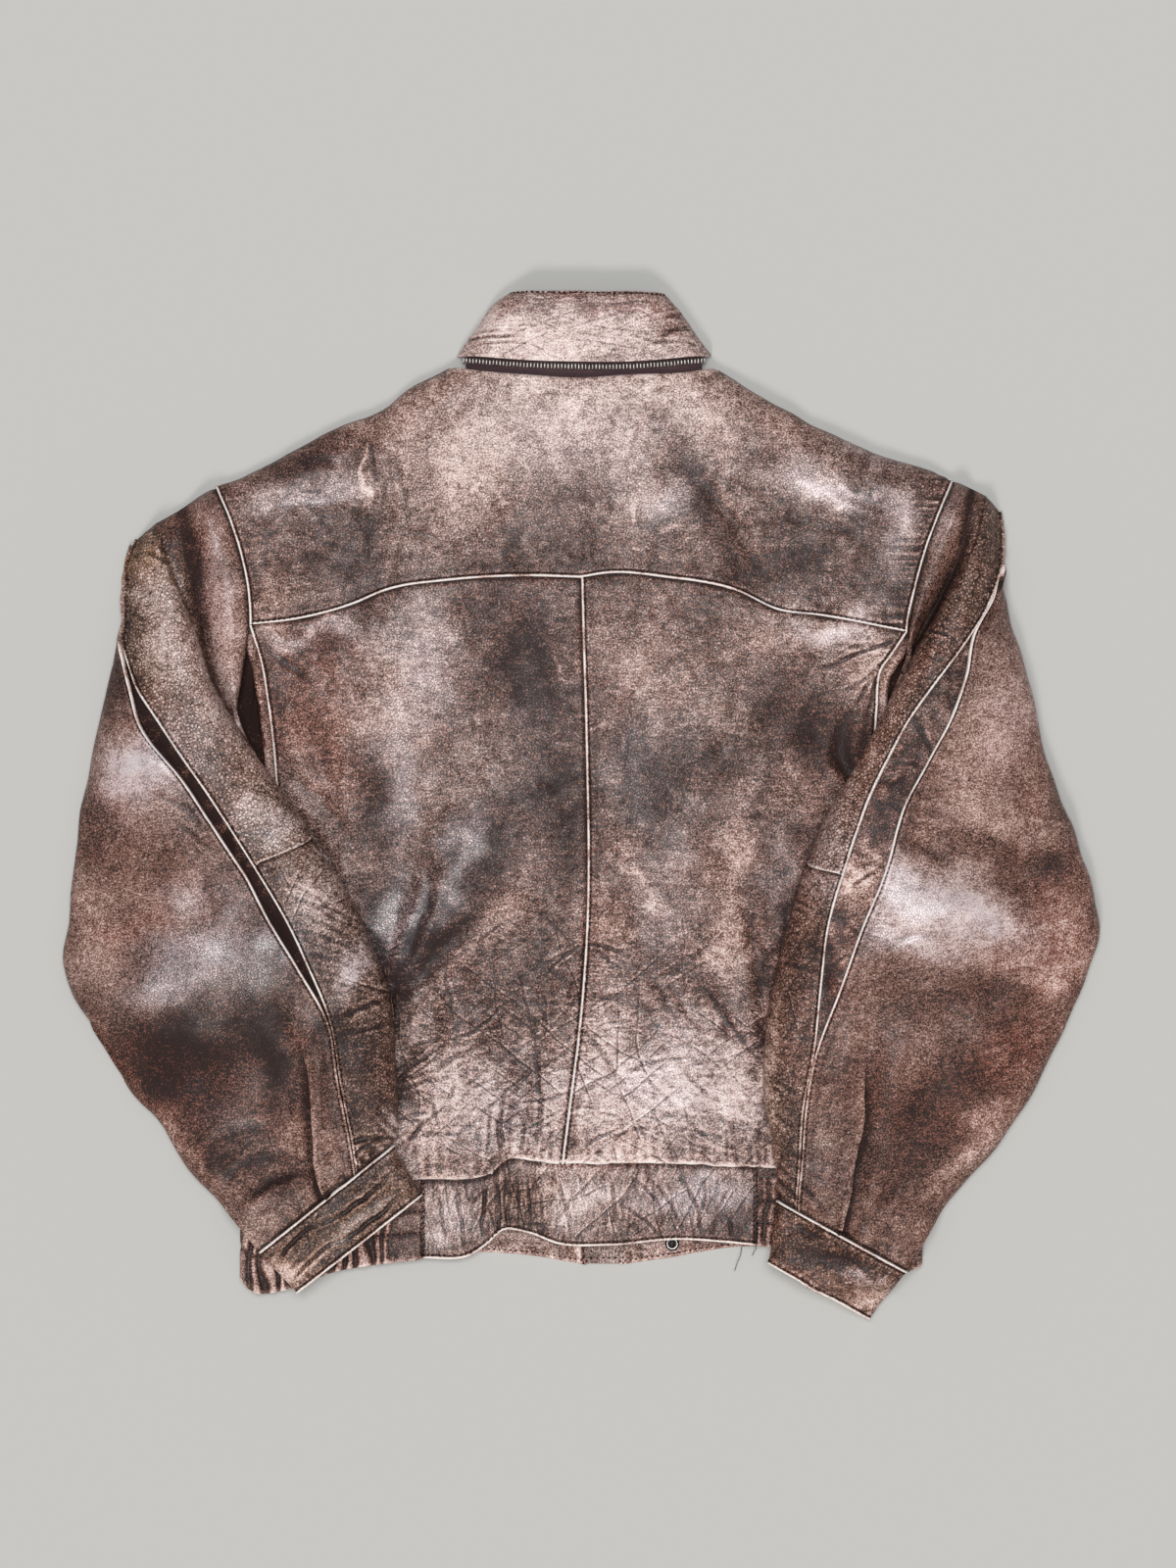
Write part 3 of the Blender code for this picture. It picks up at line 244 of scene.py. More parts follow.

# ---------------------------------------------------------------- creases, wear and painted light and shade

# Creases: from x, y to x, y, how far the middle bows to the left, half width, depth (a ridge is negative)
YOKE_CREASES = (
    (-137, 190, -92, 180, 4, 5, 0.9), (-152, 273, -146, 208, 3, 2.2, 0.4),
    (-130, 250, -120, 205, -2, 3, 0.35), (-226, 214, -150, 222, -6, 7, 0.9),
    (-205, 235, -148, 240, 4, 5, 0.6), (70, 240, 128, 158, 6, 6, 0.9), (150, 200, 205, 178, 5, 5, 0.7),
    (168, 232, 224, 205, -4, 5, 0.6), (196, 190, 226, 172, 2, 2.4, 0.4), (40, 232, 66, 226, 0, 1.6, 0.25),
    (-30, 290, 10, 282, 2, 3, 0.3), (30, 288, 70, 296, -2, 3, 0.3), (110, 176, 160, 182, 3, 4, -0.4),
)
BACK_CREASES = (
    # from the pleats and the underarms
    (-232, 124, -165, 112, -4, 6, 1.1), (-228, 112, -190, 84, 3, 4, 0.8), (228, 118, 176, 112, 3, 2.6, 0.9),
    (224, 113, 168, 94, -3, 2.6, 0.9), (220, 108, 182, 78, 2, 2.4, 0.8), (214, 100, 190, 66, -2, 2.4, 0.8),
    (226, 116, 186, 104, 0, 1.8, 0.6), (205, 96, 200, 60, 2, 2.2, 0.7), (219, 112, 204, 84, 2, 2.6, 0.9),
    (186, 62, 196, 8, -8, 7, 2.2), (196, 30, 188, -10, 2, 3, 0.9), (-206, 20, -160, -30, 5, 6, 0.9),
    (-212, 0, -168, -58, 6, 5, 1), (-204, -40, -150, -92, 4, 4, 0.9), (-180, 60, -172, -10, -4, 9, 0.8),
    (-112, 60, -104, -30, 3, 8, -0.6), (-105, -48, -135, -130, 5, 5, 1.4),
    (-84, -86, -130, -132, 3, 9, 2.6),
    # fine lines above the waist, left of the seam
    (-74, -97, -43, -79, 2, 1.8, 0.55), (-22, -116, -2, -101, 1, 1.8, 0.5),
    (-128, -195, -89, -166, 4, 2.4, 0.8), (-89, -166, -52, -139, -2, 2.2, 0.7),
    (-122, -171, -90, -165, 2, 1.8, 0.5), (-90, -165, -56, -156, 2, 1.8, 0.5),
    (-89, -193, -97, -212, 2, 2.2, 0.7), (-97, -212, -124, -247, -4, 2.8, 0.9),
    (-138, -208, -84, -190, 4, 2.2, 0.6), (-136, -226, -92, -214, 3, 2.4, 0.6),
    (-132, -238, -80, -232, 3, 2.2, 0.5), (-108, -200, -100, -244, 3, 2.4, 0.5),
    (-84, -206, -60, -192, 2, 2, 0.6), (-120, -150, -60, -122, 5, 3, 0.5),
    (-66, -84, -20, -96, -3, 2.4, 0.5), (-33, -171, -31, -240, 3, 3, 1.1),
    (-53, -202, -56, -245, -2, 2.8, 0.9), (-28, -130, -27, -171, 2, 2.4, 0.7),
    (-64, -206, -68, -250, 2, 2.2, 0.6), (-42, -214, -44, -250, 2, 2, 0.6),
    (-4, -206, -60, -216, -3, 1.8, 0.5), (-6, -212, -50, -236, -2, 1.8, 0.5),
    (0, -98, -34, -112, 2, 1.8, 0.6), (-1, -99, -28, -124, -2, 1.6, 0.5),
    # and right of it
    (3, -98, 34, -107, 2, 2.2, 0.9), (3, -99, 30, -120, 2, 1.8, 0.5), (3, -145, 33, -130, 2, 1.8, 0.55),
    (3, -160, 33, -152, 2, 1.8, 0.5), (-2, -206, 26, -190, 2, 1.8, 0.6), (26, -190, 77, -177, 3, 2.2, 0.7),
    (66, -180, 112, -215, -4, 2.6, 0.8), (41, -191, 66, -213, 2, 2.2, 0.7),
    (66, -213, 109, -243, -3, 2.6, 0.8), (3, -215, 33, -223, 2, 2, 0.6), (33, -223, 62, -238, -2, 2.4, 0.8),
    (-4, -247, 33, -225, 3, 2, 0.6), (62, -226, 109, -241, 3, 2.4, 0.7), (62, -238, 66, -250, 0, 2.6, 0.8),
    (14, -238, 56, -226, 3, 2.2, 0.6), (80, -214, 150, -246, 4, 3, 0.7), (96, -190, 160, -232, 5, 3.4, 0.6),
    (-8, -213, 20, -212, 0, 2, 0.8), (-8, -214, 14, -228, 0, 1.8, 0.6), (110, -60, 124, -150, 6, 6, 1.2),
    (92, -110, 100, -170, 3, 5, 0.5), (40, -20, 60, -90, 6, 7, 0.4),
)
# Families of fine creases that cover the lower back: angle, spacing, seed, depth
LOWER_BACK_NETWORK = {
    "left": ((30, 26.0, 201, 0.60), (46, 34.0, 211, 0.45), (-36, 30.0, 221, 0.45)),
    "right": ((-33, 26.0, 241, 0.60), (-16, 32.0, 251, 0.45), (26, 28.0, 261, 0.45)),
}
SLEEVE_CREASES = (
    # left, below the elbow and at the cuff
    (-171, -151, -134, -137, 3, 3.4, 1.6), (-166, -158, -136, -152, -2, 2.4, 0.8),
    (-164, -238, -133, -235, 4, 3, 1.5), (-160, -250, -136, -232, 3, 2.2, 0.9),
    (-214, -52, -176, -72, 3, 2.4, 0.7), (-208, -62, -168, -84, 3, 2, 0.6),
    (-204, -74, -160, -94, 2, 2.2, 0.7), (-198, -88, -156, -104, 3, 2, 0.6),
    (-192, -104, -152, -116, 2, 2.4, 0.7), (-186, -124, -150, -130, 2, 2, 0.5),
    (-158, -176, -138, -196, 2, 2.6, 0.6), (-170, -196, -150, -222, -2, 2.4, 0.5),
    (-250, -262, -204, -246, 4, 5, 1.1), (-238, -280, -192, -256, 4, 4, 1),
    (-262, -238, -214, -226, 4, 6, 0.8), (-214, -150, -188, -168, -5, 9, 1.8),
    (-324, 160, -300, 142, 3, 5, 1), (-310, 176, -290, 170, 2, 3, 0.7), (-312, 40, -276, 18, 3, 4, 0.6),
    (-300, 8, -262, -16, 3, 3.6, 0.6), (-290, -8, -252, -40, 3, 3, 0.5), (-296, 78, -262, 66, 3, 3, 0.4),
    # right
    (243, 121, 263, 115, 1, 2, 0.8), (246, 150, 262, 138, 1, 2.4, 0.5), (226, -2, 262, -14, 3, 4, 0.7),
    (214, -22, 260, -44, 3, 5, 0.7), (216, -96, 250, -92, 3, 4, 0.8), (160, -150, 186, -142, 3, 3, 0.6),
    (142, -66, 166, -76, 2, 2.4, 0.5), (138, -110, 166, -118, 2, 2.4, 0.5),
    (132, -190, 150, -204, 2, 2.4, 0.5), (150, -262, 168, -282, 2, 3, 0.7),
    (206, -284, 232, -262, 3, 5, 0.7), (300, -150, 344, -120, 4, 6, 0.6), (290, -190, 330, -170, 4, 5, 0.5),
)
GUSSET_CREASES = (
    (232, 60, 246, 30, 2, 2.2, 1), (216, 30, 244, 22, 2, 2, 0.8), (212, 2, 230, -14, 2, 2.2, 0.9),
    (196, -34, 216, -56, 3, 2.4, 1.1), (188, -58, 208, -46, 2, 2, 0.9), (184, -84, 202, -100, 2, 2.2, 1),
    (176, -112, 190, -104, 2, 2, 0.9), (176, -124, 188, -132, 2, 2, 0.8),
)
BAND_CREASES = (
    (-60, -266, -58, -300, 2, 1.6, 0.9), (-53, -262, -51, -298, -2, 1.5, 0.9),
    (-46, -262, -45, -298, 2, 1.5, 0.9), (-39, -262, -37, -298, 2, 1.6, 0.8),
    (-66, -266, -68, -306, -2, 2, 0.8), (-33, -264, -28, -296, 3, 1.8, 0.6),
    (-90, -268, -84, -314, 3, 2.2, 0.6), (-102, -270, -98, -312, 3, 2, 0.5),
    (-20, -262, -8, -304, 4, 2, 0.6), (-4, -264, -16, -292, 2, 1.8, 0.5), (20, -262, 22, -296, 2, 2, 0.7),
    (24, -280, 56, -304, 3, 1.8, 0.7), (34, -262, 58, -288, 3, 1.8, 0.7), (46, -262, 72, -302, 4, 2, 0.7),
    (58, -262, 64, -282, 2, 1.6, 0.6), (70, -262, 84, -300, 3, 2, 0.8), (86, -264, 82, -296, 2, 2, 0.6),
    (98, -286, 106, -304, 2, 1.8, 0.6), (104, -266, 92, -288, 2, 1.8, 0.4),
    (0, -300, 34, -292, 2, 1.6, 0.4), (-78, -288, -66, -270, 2, 1.8, 0.6),
)
COLLAR_CREASES = (
    (-84, 325, -40, 329, 2, 1.8, 0.8), (-78, 330, -34, 333, 2, 1.5, 0.5), (-80, 321, -30, 324, 2, 1.5, 0.5),
    (-70, 336, -20, 334, 2, 1.4, 0.35), (52, 326, 76, 334, 3, 3.4, 1), (44, 322, 84, 322, 3, 2, 0.5),
    (56, 340, 74, 344, 2, 2.2, 0.5), (36, 330, 62, 326, -2, 1.8, 0.5), (-10, 330, 30, 326, 2, 1.4, 0.3),
    (20, 350, 56, 352, 2, 1.6, 0.3), (30, 336, 60, 346, 2, 1.4, 0.3),
)
CUFF_CREASES = (
    (-213, -320, -182, -293, 3, 2.5, 2), (-182, -293, -135, -259, -4, 2.6, 2.2),
    (-202, -333, -168, -305, 3, 2.3, 1.8), (-168, -305, -128, -273, -3, 2.5, 2),
    (-206, -326, -190, -318, 2, 2.4, 0.8), (-150, -262, -146, -250, 0, 2, 0.5),
    (142, -300, 168, -306, 4, 4, 1.4), (150, -316, 196, -330, 4, 5, 1.3),
    (176, -300, 212, -332, -4, 4, 0.9), (160, -290, 182, -310, 3, 3, 0.7),
    (188, -318, 210, -340, 3, 3, 0.8),
)

# Wear and painted light: x, y, reach in x and y, turn in degrees, how much is made pale (worn, and painted
# highlight), dark (dirt, and painted shade), reddish, amber-stained; a row leaves out the zeros at its end
BODY_WEAR_AND_SHADING = (
    # yoke
    (-10, 264, 92, 44, 0, 0.62), (-94, 236, 38, 36, 0, 0.22), (10, 293, 70, 12, 0, 0.32),
    (-195, 218, 46, 10, 5, 0.48), (-178, 245, 26, 11, 22, 0, 0.5), (-196, 170, 46, 24, 8, 0, 0.45),
    (-147, 205, 7, 56, 0, 0, 0.45), (-153, 238, 2.5, 24, 4, 0.6), (-2, 226, 13, 26, 10, 0, 0.32),
    (54, 213, 24, 15, 10, 0.45), (92, 208, 12, 48, 34, 0, 0.6), (172, 220, 36, 11, -18, 0.6),
    (204, 252, 28, 8, -24, 0.4), (150, 172, 52, 24, -12, 0, 0.5), (222, 194, 11, 26, -14, 0.35),
    (130, 246, 30, 12, -30, 0, 0.4), (-60, 176, 60, 12, 4, 0, 0.12), (40, 180, 50, 12, 0, 0.1),
    (80, 280, 30, 16, -20, 0.25), (-40, 240, 12, 12, 0, 0, 0.2),
    # scratches and scuffs
    (-14, 100, 12, 1.5, -58, 0.9), (14, 56, 9, 1.6, -20, 0.8), (28, 44, 8, 1.6, -50, 0.7),
    (38, -52, 14, 3, -55, 0.6), (54, -66, 9, 4, -60, 0.6), (24, 14, 7, 1.4, 10, 0.6),
    (66, 190, 14, 1.5, 4, 0.5), (36, 206, 1.5, 12, 12, 0.7), (-84, 128, 1.6, 16, 0, 0.5),
    (-78, 132, 1.4, 12, 3, 0.5), (-92, 120, 1.5, 18, -2, 0.5), (184, 226, 14, 2, -30, 0.7),
    (180, 212, 9, 1.4, 20, 0.6), (88, 96, 26, 1.8, 40, 0.4), (-152, 226, 1.3, 26, 6, 0.6),
    (-147, 222, 1.1, 22, 6, 0.5),
    # left of the seam
    (-190, 121, 36, 7, 8, 0.6, 0, 0.3), (-108, 104, 27, 36, 0, 0.42), (-124, 16, 13, 70, 2, 0.2),
    (-42, 106, 33, 44, 0, 0, 0.8), (-12, 14, 22, 66, 0, 0, 0.55), (-182, 52, 22, 52, 8, 0, 0.1, 0.9),
    # The broad dark row at (-104, -98) is painted shade in the valley beside the left sleeve
    (-147, 6, 10, 30, 0, 0, 0.55), (-130, -88, 15, 24, 10, 0.5), (-104, -98, 44, 13, 52, 0, 0.85),
    (-136, -136, 12, 22, 0, 0, 0.55, 0.1), (-86, -38, 9, 36, -22, 0.3), (-62, -30, 22, 40, 6, 0, 0.34, 0.1),
    (-52, -76, 40, 18, 0, 0.14), (-196, 78, 26, 40, 0, 0, 0.16, 0.5),
    # right of the seam
    (58, 108, 40, 30, 0, 0.12, 0, 0, 0.1), (128, 114, 28, 18, 0, 0.32, 0, 0.1), (174, 124, 30, 9, -10, 0.7),
    (206, 98, 12, 22, -30, 0.45, 0, 0.1), (158, 50, 25, 32, 8, 0, 0.85, 0.2), (26, 56, 18, 40, 0, 0, 0.28),
    (104, -70, 9, 60, -10, 0.24), (56, -46, 20, 80, -4, 0, 0.08), (97, -143, 32, 7, -55, 0, 0.6, 0.3),
    (128, -50, 12, 70, -4, 0, 0.55), (164, -76, 22, 60, 6, 0, 0.42), (76, 16, 34, 26, 0, 0, 0.34),
    # The narrow dark rows at (-138, -100), (-122, -186), (140, -92) and (124, -196) are painted shadow
    # along the sleeves' edges
    (190, 30, 10, 34, 8, 0, 0.55, 0.2), (120, -30, 14, 60, 8, 0.05), (-138, -100, 7, 36, 19, 0, 0.8),
    (-122, -186, 5, 52, 0, 0, 0.7), (140, -92, 6, 62, -13, 0, 0.8), (124, -196, 5, 56, 0, 0, 0.7),
    # lower back and band
    (66, -196, 90, 46, 0, 0.68), (-72, -208, 80, 40, 0, 0.5), (0, -247, 150, 8, 0, 0.4),
    (-31, -192, 7, 34, 0, 0, 0.65), (-54, -224, 5, 26, 0, 0, 0.45), (140, -236, 26, 14, 0, 0, 0.25),
    (-40, -140, 40, 30, 0, 0, 0.14, 0.2), (-50, -280, 18, 18, 0, 0, 0.35, 0, 0.2),
    (76, -276, 46, 14, 0, 0.4), (-92, -290, 24, 18, 0, 0.4), (2, -284, 24, 14, 0, 0.34, 0, 0, 0.25),
    (112, -292, 12, 16, 0, 0, 0.4), (34, -268, 10, 14, 20, 0, 0.3), (-24, -270, 10, 12, 0, 0.4, 0, 0, 0.15),
)
# The same columns for the sleeves and cuffs; the dark bands on the slopes of the folds are painted shade,
# and the pale patches on their tops are partly painted highlight
SLEEVE_WEAR_AND_SHADING = (
    # left: cap, strip and the large piece from the shoulder to the wrist
    (-257, 136, 16, 70, 4, 0.34, 0, 0.3), (-309, 172, 16, 18, 0, 0, 0.1, 0.1, 0.9),
    (-292, 128, 15, 44, 8, 0.72), (-276, 176, 10, 30, 20, 0, 0.4, 0.1), (-246, 60, 16, 40, 34, 0.6),
    (-330, 78, 20, 30, 0, 0, 0.45), (-308, 30, 34, 28, 24, 0.86), (-344, -6, 14, 40, 0, 0, 0.3, 0.1),
    (-270, -62, 26, 12, 10, 0.34), (-250, -52, 10, 9, 40, 0, 0.45), (-322, -88, 34, 12, 14, 0.1, 0, 0.8),
    (-244, -106, 48, 17, 8, 0.22), (-292, -130, 24, 8, 20, 0.34), (-276, -168, 80, 24, -3, 0, 0.62, 0.4),
    (-262, -178, 24, 14, 0, 0, 0.1, 0.8), (-296, -190, 30, 16, -30, 0, 0.3, 0.8),
    (-270, -206, 66, 40, -24, 0, 0.52, 0.45), (-250, -248, 24, 9, -24, 0, 0.6),
    (-208, -266, 20, 14, 20, 0, 0.6), (-280, -236, 46, 7, -50, 0.34, 0, 0.2),
    (-212, -192, 12, 44, 0, 0, 0.55, 0.2), (-186, -196, 10, 46, 0, 0.1, 0.1),
    (-199, -159, 9, 6, 0, 0.35, 0, 0.6), (-222, -2, 14, 9, 0, 0.5), (-210, -18, 20, 8, 40, 0.5),
    (-186, -62, 22, 22, -30, 0.66), (-160, -118, 12, 18, -30, 0.8), (-146, -180, 12, 44, 0, 0, 0.4),
    (-137, -224, 7, 16, 0, 0.6), (-170, -160, 14, 14, 0, 0, 0.34),
    # right
    (300, 60, 26, 62, -14, 0.4, 0, 0.7), (252, -34, 26, 12, -10, 0, 0.6),
    (300, -36, 34, 10, -22, 0, 0.65, 0.1), (236, -64, 56, 24, -14, 0.72),
    (290, -84, 30, 14, -16, 0.55, 0, 0.25), (226, -96, 30, 10, -12, 0.4), (334, -86, 22, 30, 0, 0.25, 0, 1),
    (266, -134, 60, 16, -4, 0, 0.5), (302, -112, 24, 10, -16, 0.26, 0, 0.3),
    (334, -122, 10, 20, -30, 0.5, 0, 0.6), (300, -174, 28, 20, 40, 0.2, 0, 0.9),
    (258, -206, 40, 26, 40, 0, 0.44, 0.6), (226, -246, 22, 40, -20, 0, 0.45, 0.3),
    (276, -238, 50, 7, 52, 0.42, 0, 0.35), (254, 196, 9, 26, -24, 0.5),
    (262, 158, 18, 30, -20, 0.16, 0, 0.1), (240, 104, 16, 30, -34, 0.1, 0, 0.6), (170, -22, 18, 18, 0, 0.4),
    (150, -120, 20, 60, 6, 0, 0.26), (131, -190, 5, 60, 0, 0.45, 0, 0, 0.15),
    (178, -196, 16, 40, 0, 0, 0.3), (160, -170, 10, 40, 0, 0.2), (210, -200, 10, 50, -4, 0, 0.35, 0.3),
    (316, 0, 14, 40, -10, 0.14, 0, 0.4),
    # cuffs
    (-165, -298, 56, 22, 38, 0, 0.14, 0, 0.45), (172, -318, 46, 24, -26, 0, 0.34, 0, 0.16),
    (216, 62, 14, 70, -36, 0.3, 0, 0.3), (-206, -330, 14, 12, 40, 0.7, 0, 0, 0.15),
    (-190, -312, 20, 5, 38, 0.4, 0, 0, 0.1), (-140, -262, 30, 5, 38, 0.25), (-118, -272, 10, 10, 0, 0.3),
    (-160, -296, 40, 4, 38, 0.45, 0, 0, 0.1), (178, -312, 26, 9, -24, 0, 0.6), (166, -300, 30, 6, -24, 0.3),
    (204, -350, 20, 9, -30, 0.6, 0, 0.2, 0.1), (150, -332, 26, 6, -26, 0.45, 0, 0.25),
    (190, -326, 16, 4, -30, 0.5),
)
GUSSET_WEAR_AND_SHADING = (
    (195, -52, 16, 18, 0, 0.7), (206, 26, 14, 40, 0, 0, 0.45, 0.1), (186, -90, 12, 20, 0, 0.25, 0, 0.2),
    (180, -124, 8, 16, 0, 0, 0.75),
)
COLLAR_WEAR = (
    (0, 332, 90, 20, 0, 0.5), (16, 352, 60, 8, 0, 0, 0.4, 0.6), (64, 336, 14, 12, 0, 0, 0.75),
    (-60, 334, 24, 8, 0, 0.25), (10, 318, 60, 8, 0, 0.3), (-78, 326, 12, 4, 0, 0, 0.35),
    (-55, 352, 12, 8, 40, 0, 0.25, 0.4),
)

# Polish and painted sheen: x, y, reach in x and y, turn in degrees, how much more than usual (less is
# negative);
# it raises the gloss and paints a bluish sheen into the colour
BODY_POLISH_AND_SHEEN = (
    # yoke
    (-195, 218, 44, 11, 5, 0.7), (10, 262, 95, 40, 0, 0.35), (56, 212, 26, 14, 10, 0.6),
    (172, 222, 36, 12, -18, 0.9), (206, 250, 26, 8, -24, 0.7), (222, 194, 10, 24, -14, 0.6),
    # left of the seam
    (-112, 96, 24, 44, 0, 0.6), (-190, 121, 34, 6, 8, 0.6), (-130, -86, 18, 32, 12, 1.1),
    (-126, 0, 12, 60, 0, 0.5), (-86, -38, 9, 38, -22, 0.8), (-30, 90, 30, 60, 0, 0.15),
    # right of the seam
    (174, 122, 30, 9, -10, 0.8), (60, -60, 20, 60, -6, 0.3), (140, -60, 14, 60, 6, 0.35),
    (40, 40, 30, 50, 0, 0.2),
    # lower back and band
    (66, -196, 76, 46, 0, 0.7), (-70, -215, 60, 34, 0, 0.55), (76, -276, 46, 14, 0, 0.8),
    (-92, -290, 24, 16, 0, 0.7), (2, -284, 22, 14, 0, 0.6),
)
SLEEVE_POLISH_AND_SHEEN = (
    # left
    (-257, 150, 12, 60, 4, 0.5), (-306, 26, 30, 24, 24, 1.7), (-244, -106, 52, 20, 8, 1.5),
    (-290, -126, 26, 10, 20, 0.9), (-270, -62, 26, 12, 10, 0.6), (-160, -118, 12, 20, -30, 1.3),
    (-292, 126, 14, 44, 8, 0.5), (-246, 60, 14, 40, 34, 0.4), (-214, -10, 20, 16, 40, 0.7),
    (-250, -216, 34, 12, -26, 0.4), (-137, -224, 7, 16, 0, 0.8), (-186, -60, 18, 24, -30, 0.4),
    # right
    (238, -66, 54, 21, -14, 1.3), (226, -96, 32, 10, -12, 0.9), (290, -84, 26, 10, -16, 0.7),
    (254, 196, 9, 26, -24, 0.9), (168, -16, 16, 30, -14, 0.6), (190, -326, 16, 4, -30, 1),
    (300, 60, 18, 50, -14, 0.3), (-160, -296, 40, 5, 38, 0.5),
)

# Where fine lines cross the leather, as creases with painted shade and a thin painted highlight:
# x, y, reach in x and y, turn in degrees, how strongly
BODY_LINES = (
    (-60, -190, 120, 80, 0, 0.7), (90, -190, 110, 80, 0, 0.7), (-130, -100, 50, 60, 20, 0.4),
    (20, -110, 50, 40, 0, 0.35), (-80, 20, 90, 90, 0, 0.12), (60, 60, 90, 90, 0, 0.1),
    (0, -290, 160, 30, 0, 0.6), (205, 90, 30, 30, 0, 0.3), (-150, 200, 90, 40, 0, 0.1),
    (150, 200, 90, 40, 0, 0.1),
)
SLEEVE_LINES = (
    (-190, -60, 60, 30, -40, 0.8), (-150, -130, 26, 60, 0, 0.7), (-215, 10, 20, 40, 34, 0.4),
    (-240, -240, 60, 30, -30, 0.35), (200, -50, 30, 80, 20, 0.35), (150, -150, 24, 90, 0, 0.5),
    (170, -320, 60, 30, -20, 0.45), (-165, -290, 70, 40, 40, 0.4), (225, 100, 40, 60, -30, 0.25),
)

# Armholes and pleats draw the leather in beside their stitches: pucker length, reach and height
PUCKERS = {"left": (6.0, 6.0, 0.30), "right": (5.2, 8.5, 0.75)}
STRAY_THREADS = (
    ((113, -311, 1.2), (112, -317, 4.0), (109.5, -323, 5.0), (108, -328, 3.0)),
    ((121, -309, 1.2), (123, -312, 3.2), (121.5, -315, 3.0), (120.5, -317.5, 1.0)),
)

# Finishes of the leathers: fade, mottle, turn and spread of the fine lines in degrees
LEATHERS = {
    "brown": (0.0, 1.0, 0.0, 74.0), "sleeve": (0.0, 0.45, 10.0, 70.0), "band": (0.0, 0.8, 80.0, 50.0),
    "olive": (0.0, 0.6, 20.0, 80.0), "pale": (0.26, 0.6, 4.0, 30.0),
}
# Roughness, metal share and how close the mottling is
PLAIN_FINISHES = {"thread": (0.7,), "tape": (0.75, 0.0, 900.0), "metal": (0.32, 1.0, 300.0),
                  "snap": (0.42, 1.0, 300.0)}

# The stage, in metres. Lamps: strength, width in degrees, the way that they shine, and colour
FLOOR_REACH, FLOOR_Z = 4.0, -0.0004
CAMERA_AT, SEEN_LENGTH = (0.0052, 0.0145, 5.0), 1.104
LAMPS = (
    ("window", 1.2, 14, (0.2, 1.0, -0.84), (1.0, 0.975, 0.94)),
    ("overhead", 2.0, 34, (0.03, -0.12, -1.0), (0.95, 0.975, 1.0)),
)

seams = []  # lines to stitch, each a pair of arrays: its points and the way its surface faces


# ---------------------------------------------------------------- what a user would change

class JacketSizes(bpy.types.PropertyGroup):
    """Sizes of the jacket's finish."""

    step: FloatProperty(name="Mesh step", description="Distance between the points of the leather's grids",
                        default=0.0014, min=0.001, max=0.01, unit="LENGTH")
    welt_width: FloatProperty(name="Welt width", description="Width of the folded edge along a seam",
                              default=0.0019, min=0.001, max=0.006, unit="LENGTH")
    welt_height: FloatProperty(name="Welt height", description="How far the folded edge stands up",
                               default=0.0012, min=0.0, max=0.003, unit="LENGTH")
    stitch: FloatProperty(name="Stitch", description="Length from one stitch to the next",
                          default=0.0038, min=0.001, max=0.01, unit="LENGTH")
    thread: FloatProperty(name="Thread", description="Thickness of the sewing thread",
                          default=0.0013, min=0.0002, max=0.002, unit="LENGTH")
    tooth: FloatProperty(name="Zip pitch", description="Distance from one zip tooth to the next",
                         default=0.0024, min=0.001, max=0.005, unit="LENGTH")
    grain: FloatProperty(name="Grain", description="Width of the pebbles of the smooth leather",
                         default=0.0018, min=0.0005, max=0.01, unit="LENGTH")
    pebble: FloatProperty(name="Pebble", description="Width of the pebbles of the coarse leather",
                          default=0.0024, min=0.0005, max=0.01, unit="LENGTH")
    crease: FloatProperty(name="Creasing", description="Depth of the creases, as a share of their own",
                          default=1.0, min=0.0, max=2.0)
    seed: IntProperty(name="Seed", description="Start of the uneven swells of the leather",
                      default=7, min=0)


def colour(name, about, value):
    """A colour property."""
    return FloatVectorProperty(name=name, description=about, default=value, size=3, min=0, max=1,
                               subtype="COLOR")


class JacketColours(bpy.types.PropertyGroup):
    """Colours of the jacket's materials."""

    brown: colour("Brown", "Finish of the body and sleeves", (0.198, 0.097, 0.072))
    olive: colour("Olive", "Finish of the sleeves' strips and the cuffs", (0.198, 0.102, 0.066))
    # The pale colour serves both worn leather and painted highlight
    rubbed: colour("Rubbed", "Leather whose finish has worn away", (0.775, 0.568, 0.502))
    bare: colour("Bare", "Leather worn white on folded edges and the collar", (0.96, 0.87, 0.82))
    # Painted sheen: a bluish white mixed into the colour of polished patches, standing for the reflection
    # of a bluish sky
    bloom: colour("Bloom", "The bluish haze on polished leather", (0.42, 0.43, 0.54))
    # The darkest tone, for dirt in the grain and for painted shade
    deep: colour("Deep", "Dirt and polish in the grain's valleys", (0.025, 0.0120, 0.0100))
    reddish: colour("Reddish", "Where the finish has turned reddish", (0.235, 0.076, 0.046))
    amber: colour("Amber", "The stain on the shoulder", (0.33, 0.145, 0.045))
    thread: colour("Thread", "Sewing thread", (0.012, 0.007, 0.006))
    tape: colour("Tape", "Woven tape of the zip", (0.068, 0.040, 0.044))
    metal: colour("Metal", "Zip teeth", (0.62, 0.60, 0.56))
    # The snap's ring is near-black metal standing for metal in painted shade; its top band takes the bright
    # metal
    snap: colour("Snap", "The snap's dulled ring", (0.035, 0.030, 0.028))
    floor: colour("Floor", "The floor that it lies on", (0.545, 0.535, 0.510))


def sizes():
    """The sizes that are set in the scene."""
    return bpy.context.scene.jacket_sizes


def colours():
    """The colours that are set in the scene."""
    return bpy.context.scene.jacket_colours


# ---------------------------------------------------------------- curves and surfaces

